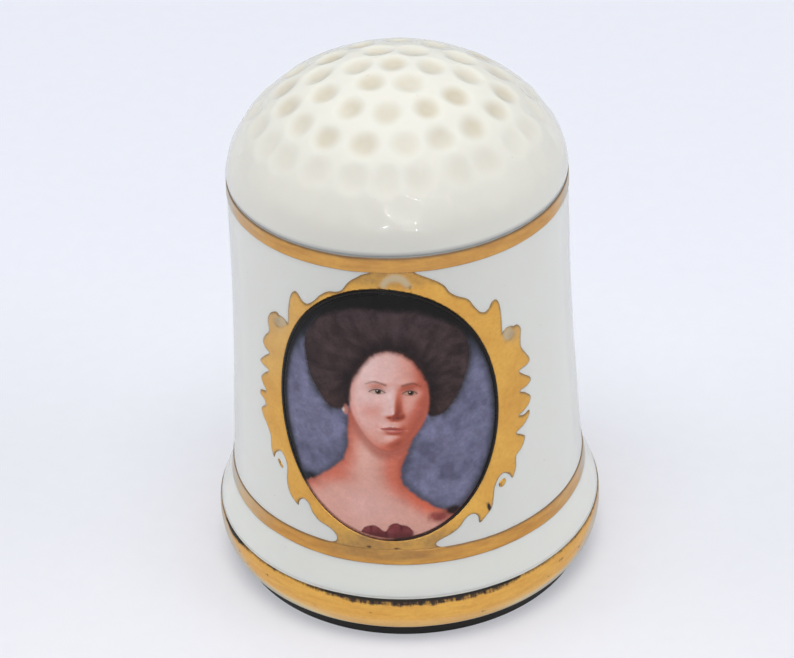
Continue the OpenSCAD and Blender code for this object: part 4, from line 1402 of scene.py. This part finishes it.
# ---------------------------------------------------------------------- lights
def area_light(name, azimuth, elevation, distance, size, power, colour, centre_z, target,
               sparkle=False):
    """A disk lamp at angles in degrees round a point on the axis, aimed at a target.

    A sparkle lamp is seen only in reflections, any other lamp never in them.
    """
    turn, rise = math.radians(azimuth), math.radians(elevation)
    place = Vector((distance * math.cos(rise) * math.sin(turn),
                    -distance * math.cos(rise) * math.cos(turn),
                    centre_z + distance * math.sin(rise)))
    light = bpy.data.lights.new(name, "AREA")
    light.shape = "DISK"
    light.size = size
    light.energy = power
    light.color = colour
    light.spread = math.pi
    lamp = bpy.data.objects.new(name, light)
    lamp.location = place
    lamp.rotation_mode = "QUATERNION"
    lamp.rotation_quaternion = (Vector(target) - place).to_track_quat("-Z", "Y")
    lamp.visible_glossy = sparkle
    lamp.visible_diffuse = not sparkle
    bpy.context.scene.collection.objects.link(lamp)


# name, azimuth, elevation, distance, size, power, colour
for row in (("front", 5, 77, 0.42, 0.34, 1.14, (1.0, 0.995, 0.985)),
            ("left", -80, 30, 0.35, 0.22, 0.335, (1.0, 0.995, 0.99)),
            ("right", 80, 30, 0.35, 0.22, 0.335, (1.0, 0.995, 0.99)),
            ("back", 180, 60, 0.42, 0.30, 0.21, (0.99, 0.995, 1.0))):
    area_light(*row, centre_z=0.012, target=(0, 0, 0.012))
# small far lamps, there for the sparkles they leave on the glaze:
# azimuth, elevation, size, power
SPARKLES = [
    (-3, 33.6, 0.007, 0.030), (-3, 17, 0.007, 0.030), (5, 31, 0.005, 0.018),
    (13.8, 28.5, 0.006, 0.018), (40, 34, 0.006, 0.022), (26, 37, 0.006, 0.020),
    (20, 46, 0.005, 0.020), (12, 15.5, 0.005, 0.012), (17, 14.2, 0.005, 0.010),
    (23, 13.0, 0.005, 0.009)]
for k, (azimuth, elevation, size, power) in enumerate(SPARKLES):
    area_light("lamp_%d" % k, azimuth, elevation, 0.30, size, power, (1, 1, 1),
               centre_z=0.024, target=(0, -0.0075, 0.024), sparkle=True)

# ---------------------------------------------------------------------- camera
# A little to the right of the portrait's middle, looking down, leaning clockwise.
CAMERA_DISTANCE = 0.14148
CAMERA_ELEVATION, CAMERA_AZIMUTH = math.radians(34.16), math.radians(6.8)
CAMERA_ROLL = math.radians(2.276)
CAMERA_PIVOT = Vector((0, 0, 0.01143))
AIM_LEFT, AIM_UP = 0.0023088075, 0.0070351577    # slopes of the aim away from the pivot
SENSOR_MM, LENS_MM = 36.0, 125.093199


def build_camera():
    level = math.cos(CAMERA_ELEVATION)
    back = Vector((math.sin(CAMERA_AZIMUTH) * level, -math.cos(CAMERA_AZIMUTH) * level,
                   math.sin(CAMERA_ELEVATION)))
    right = (-back).cross(Vector((0, 0, 1))).normalized()
    up = right.cross(-back)
    forward = (-back - right * AIM_LEFT + up * AIM_UP).normalized()
    right = forward.cross(up).normalized()
    up = right.cross(forward)
    up = (up * math.cos(CAMERA_ROLL) + right * math.sin(CAMERA_ROLL)).normalized()
    right = forward.cross(up).normalized()
    data = bpy.data.cameras.new("camera")
    data.sensor_fit = "HORIZONTAL"
    data.sensor_width = SENSOR_MM
    data.lens = LENS_MM
    data.clip_start, data.clip_end = 0.005, 5.0
    camera = bpy.data.objects.new("camera", data)
    matrix = Matrix((right, up, -forward)).transposed().to_4x4()
    matrix.translation = CAMERA_PIVOT + back * CAMERA_DISTANCE
    camera.matrix_world = matrix
    bpy.context.scene.collection.objects.link(camera)
    bpy.context.scene.camera = camera


build_camera()
bpy.context.scene.view_settings.view_transform = "Standard"

bpy.context.view_layer.update()
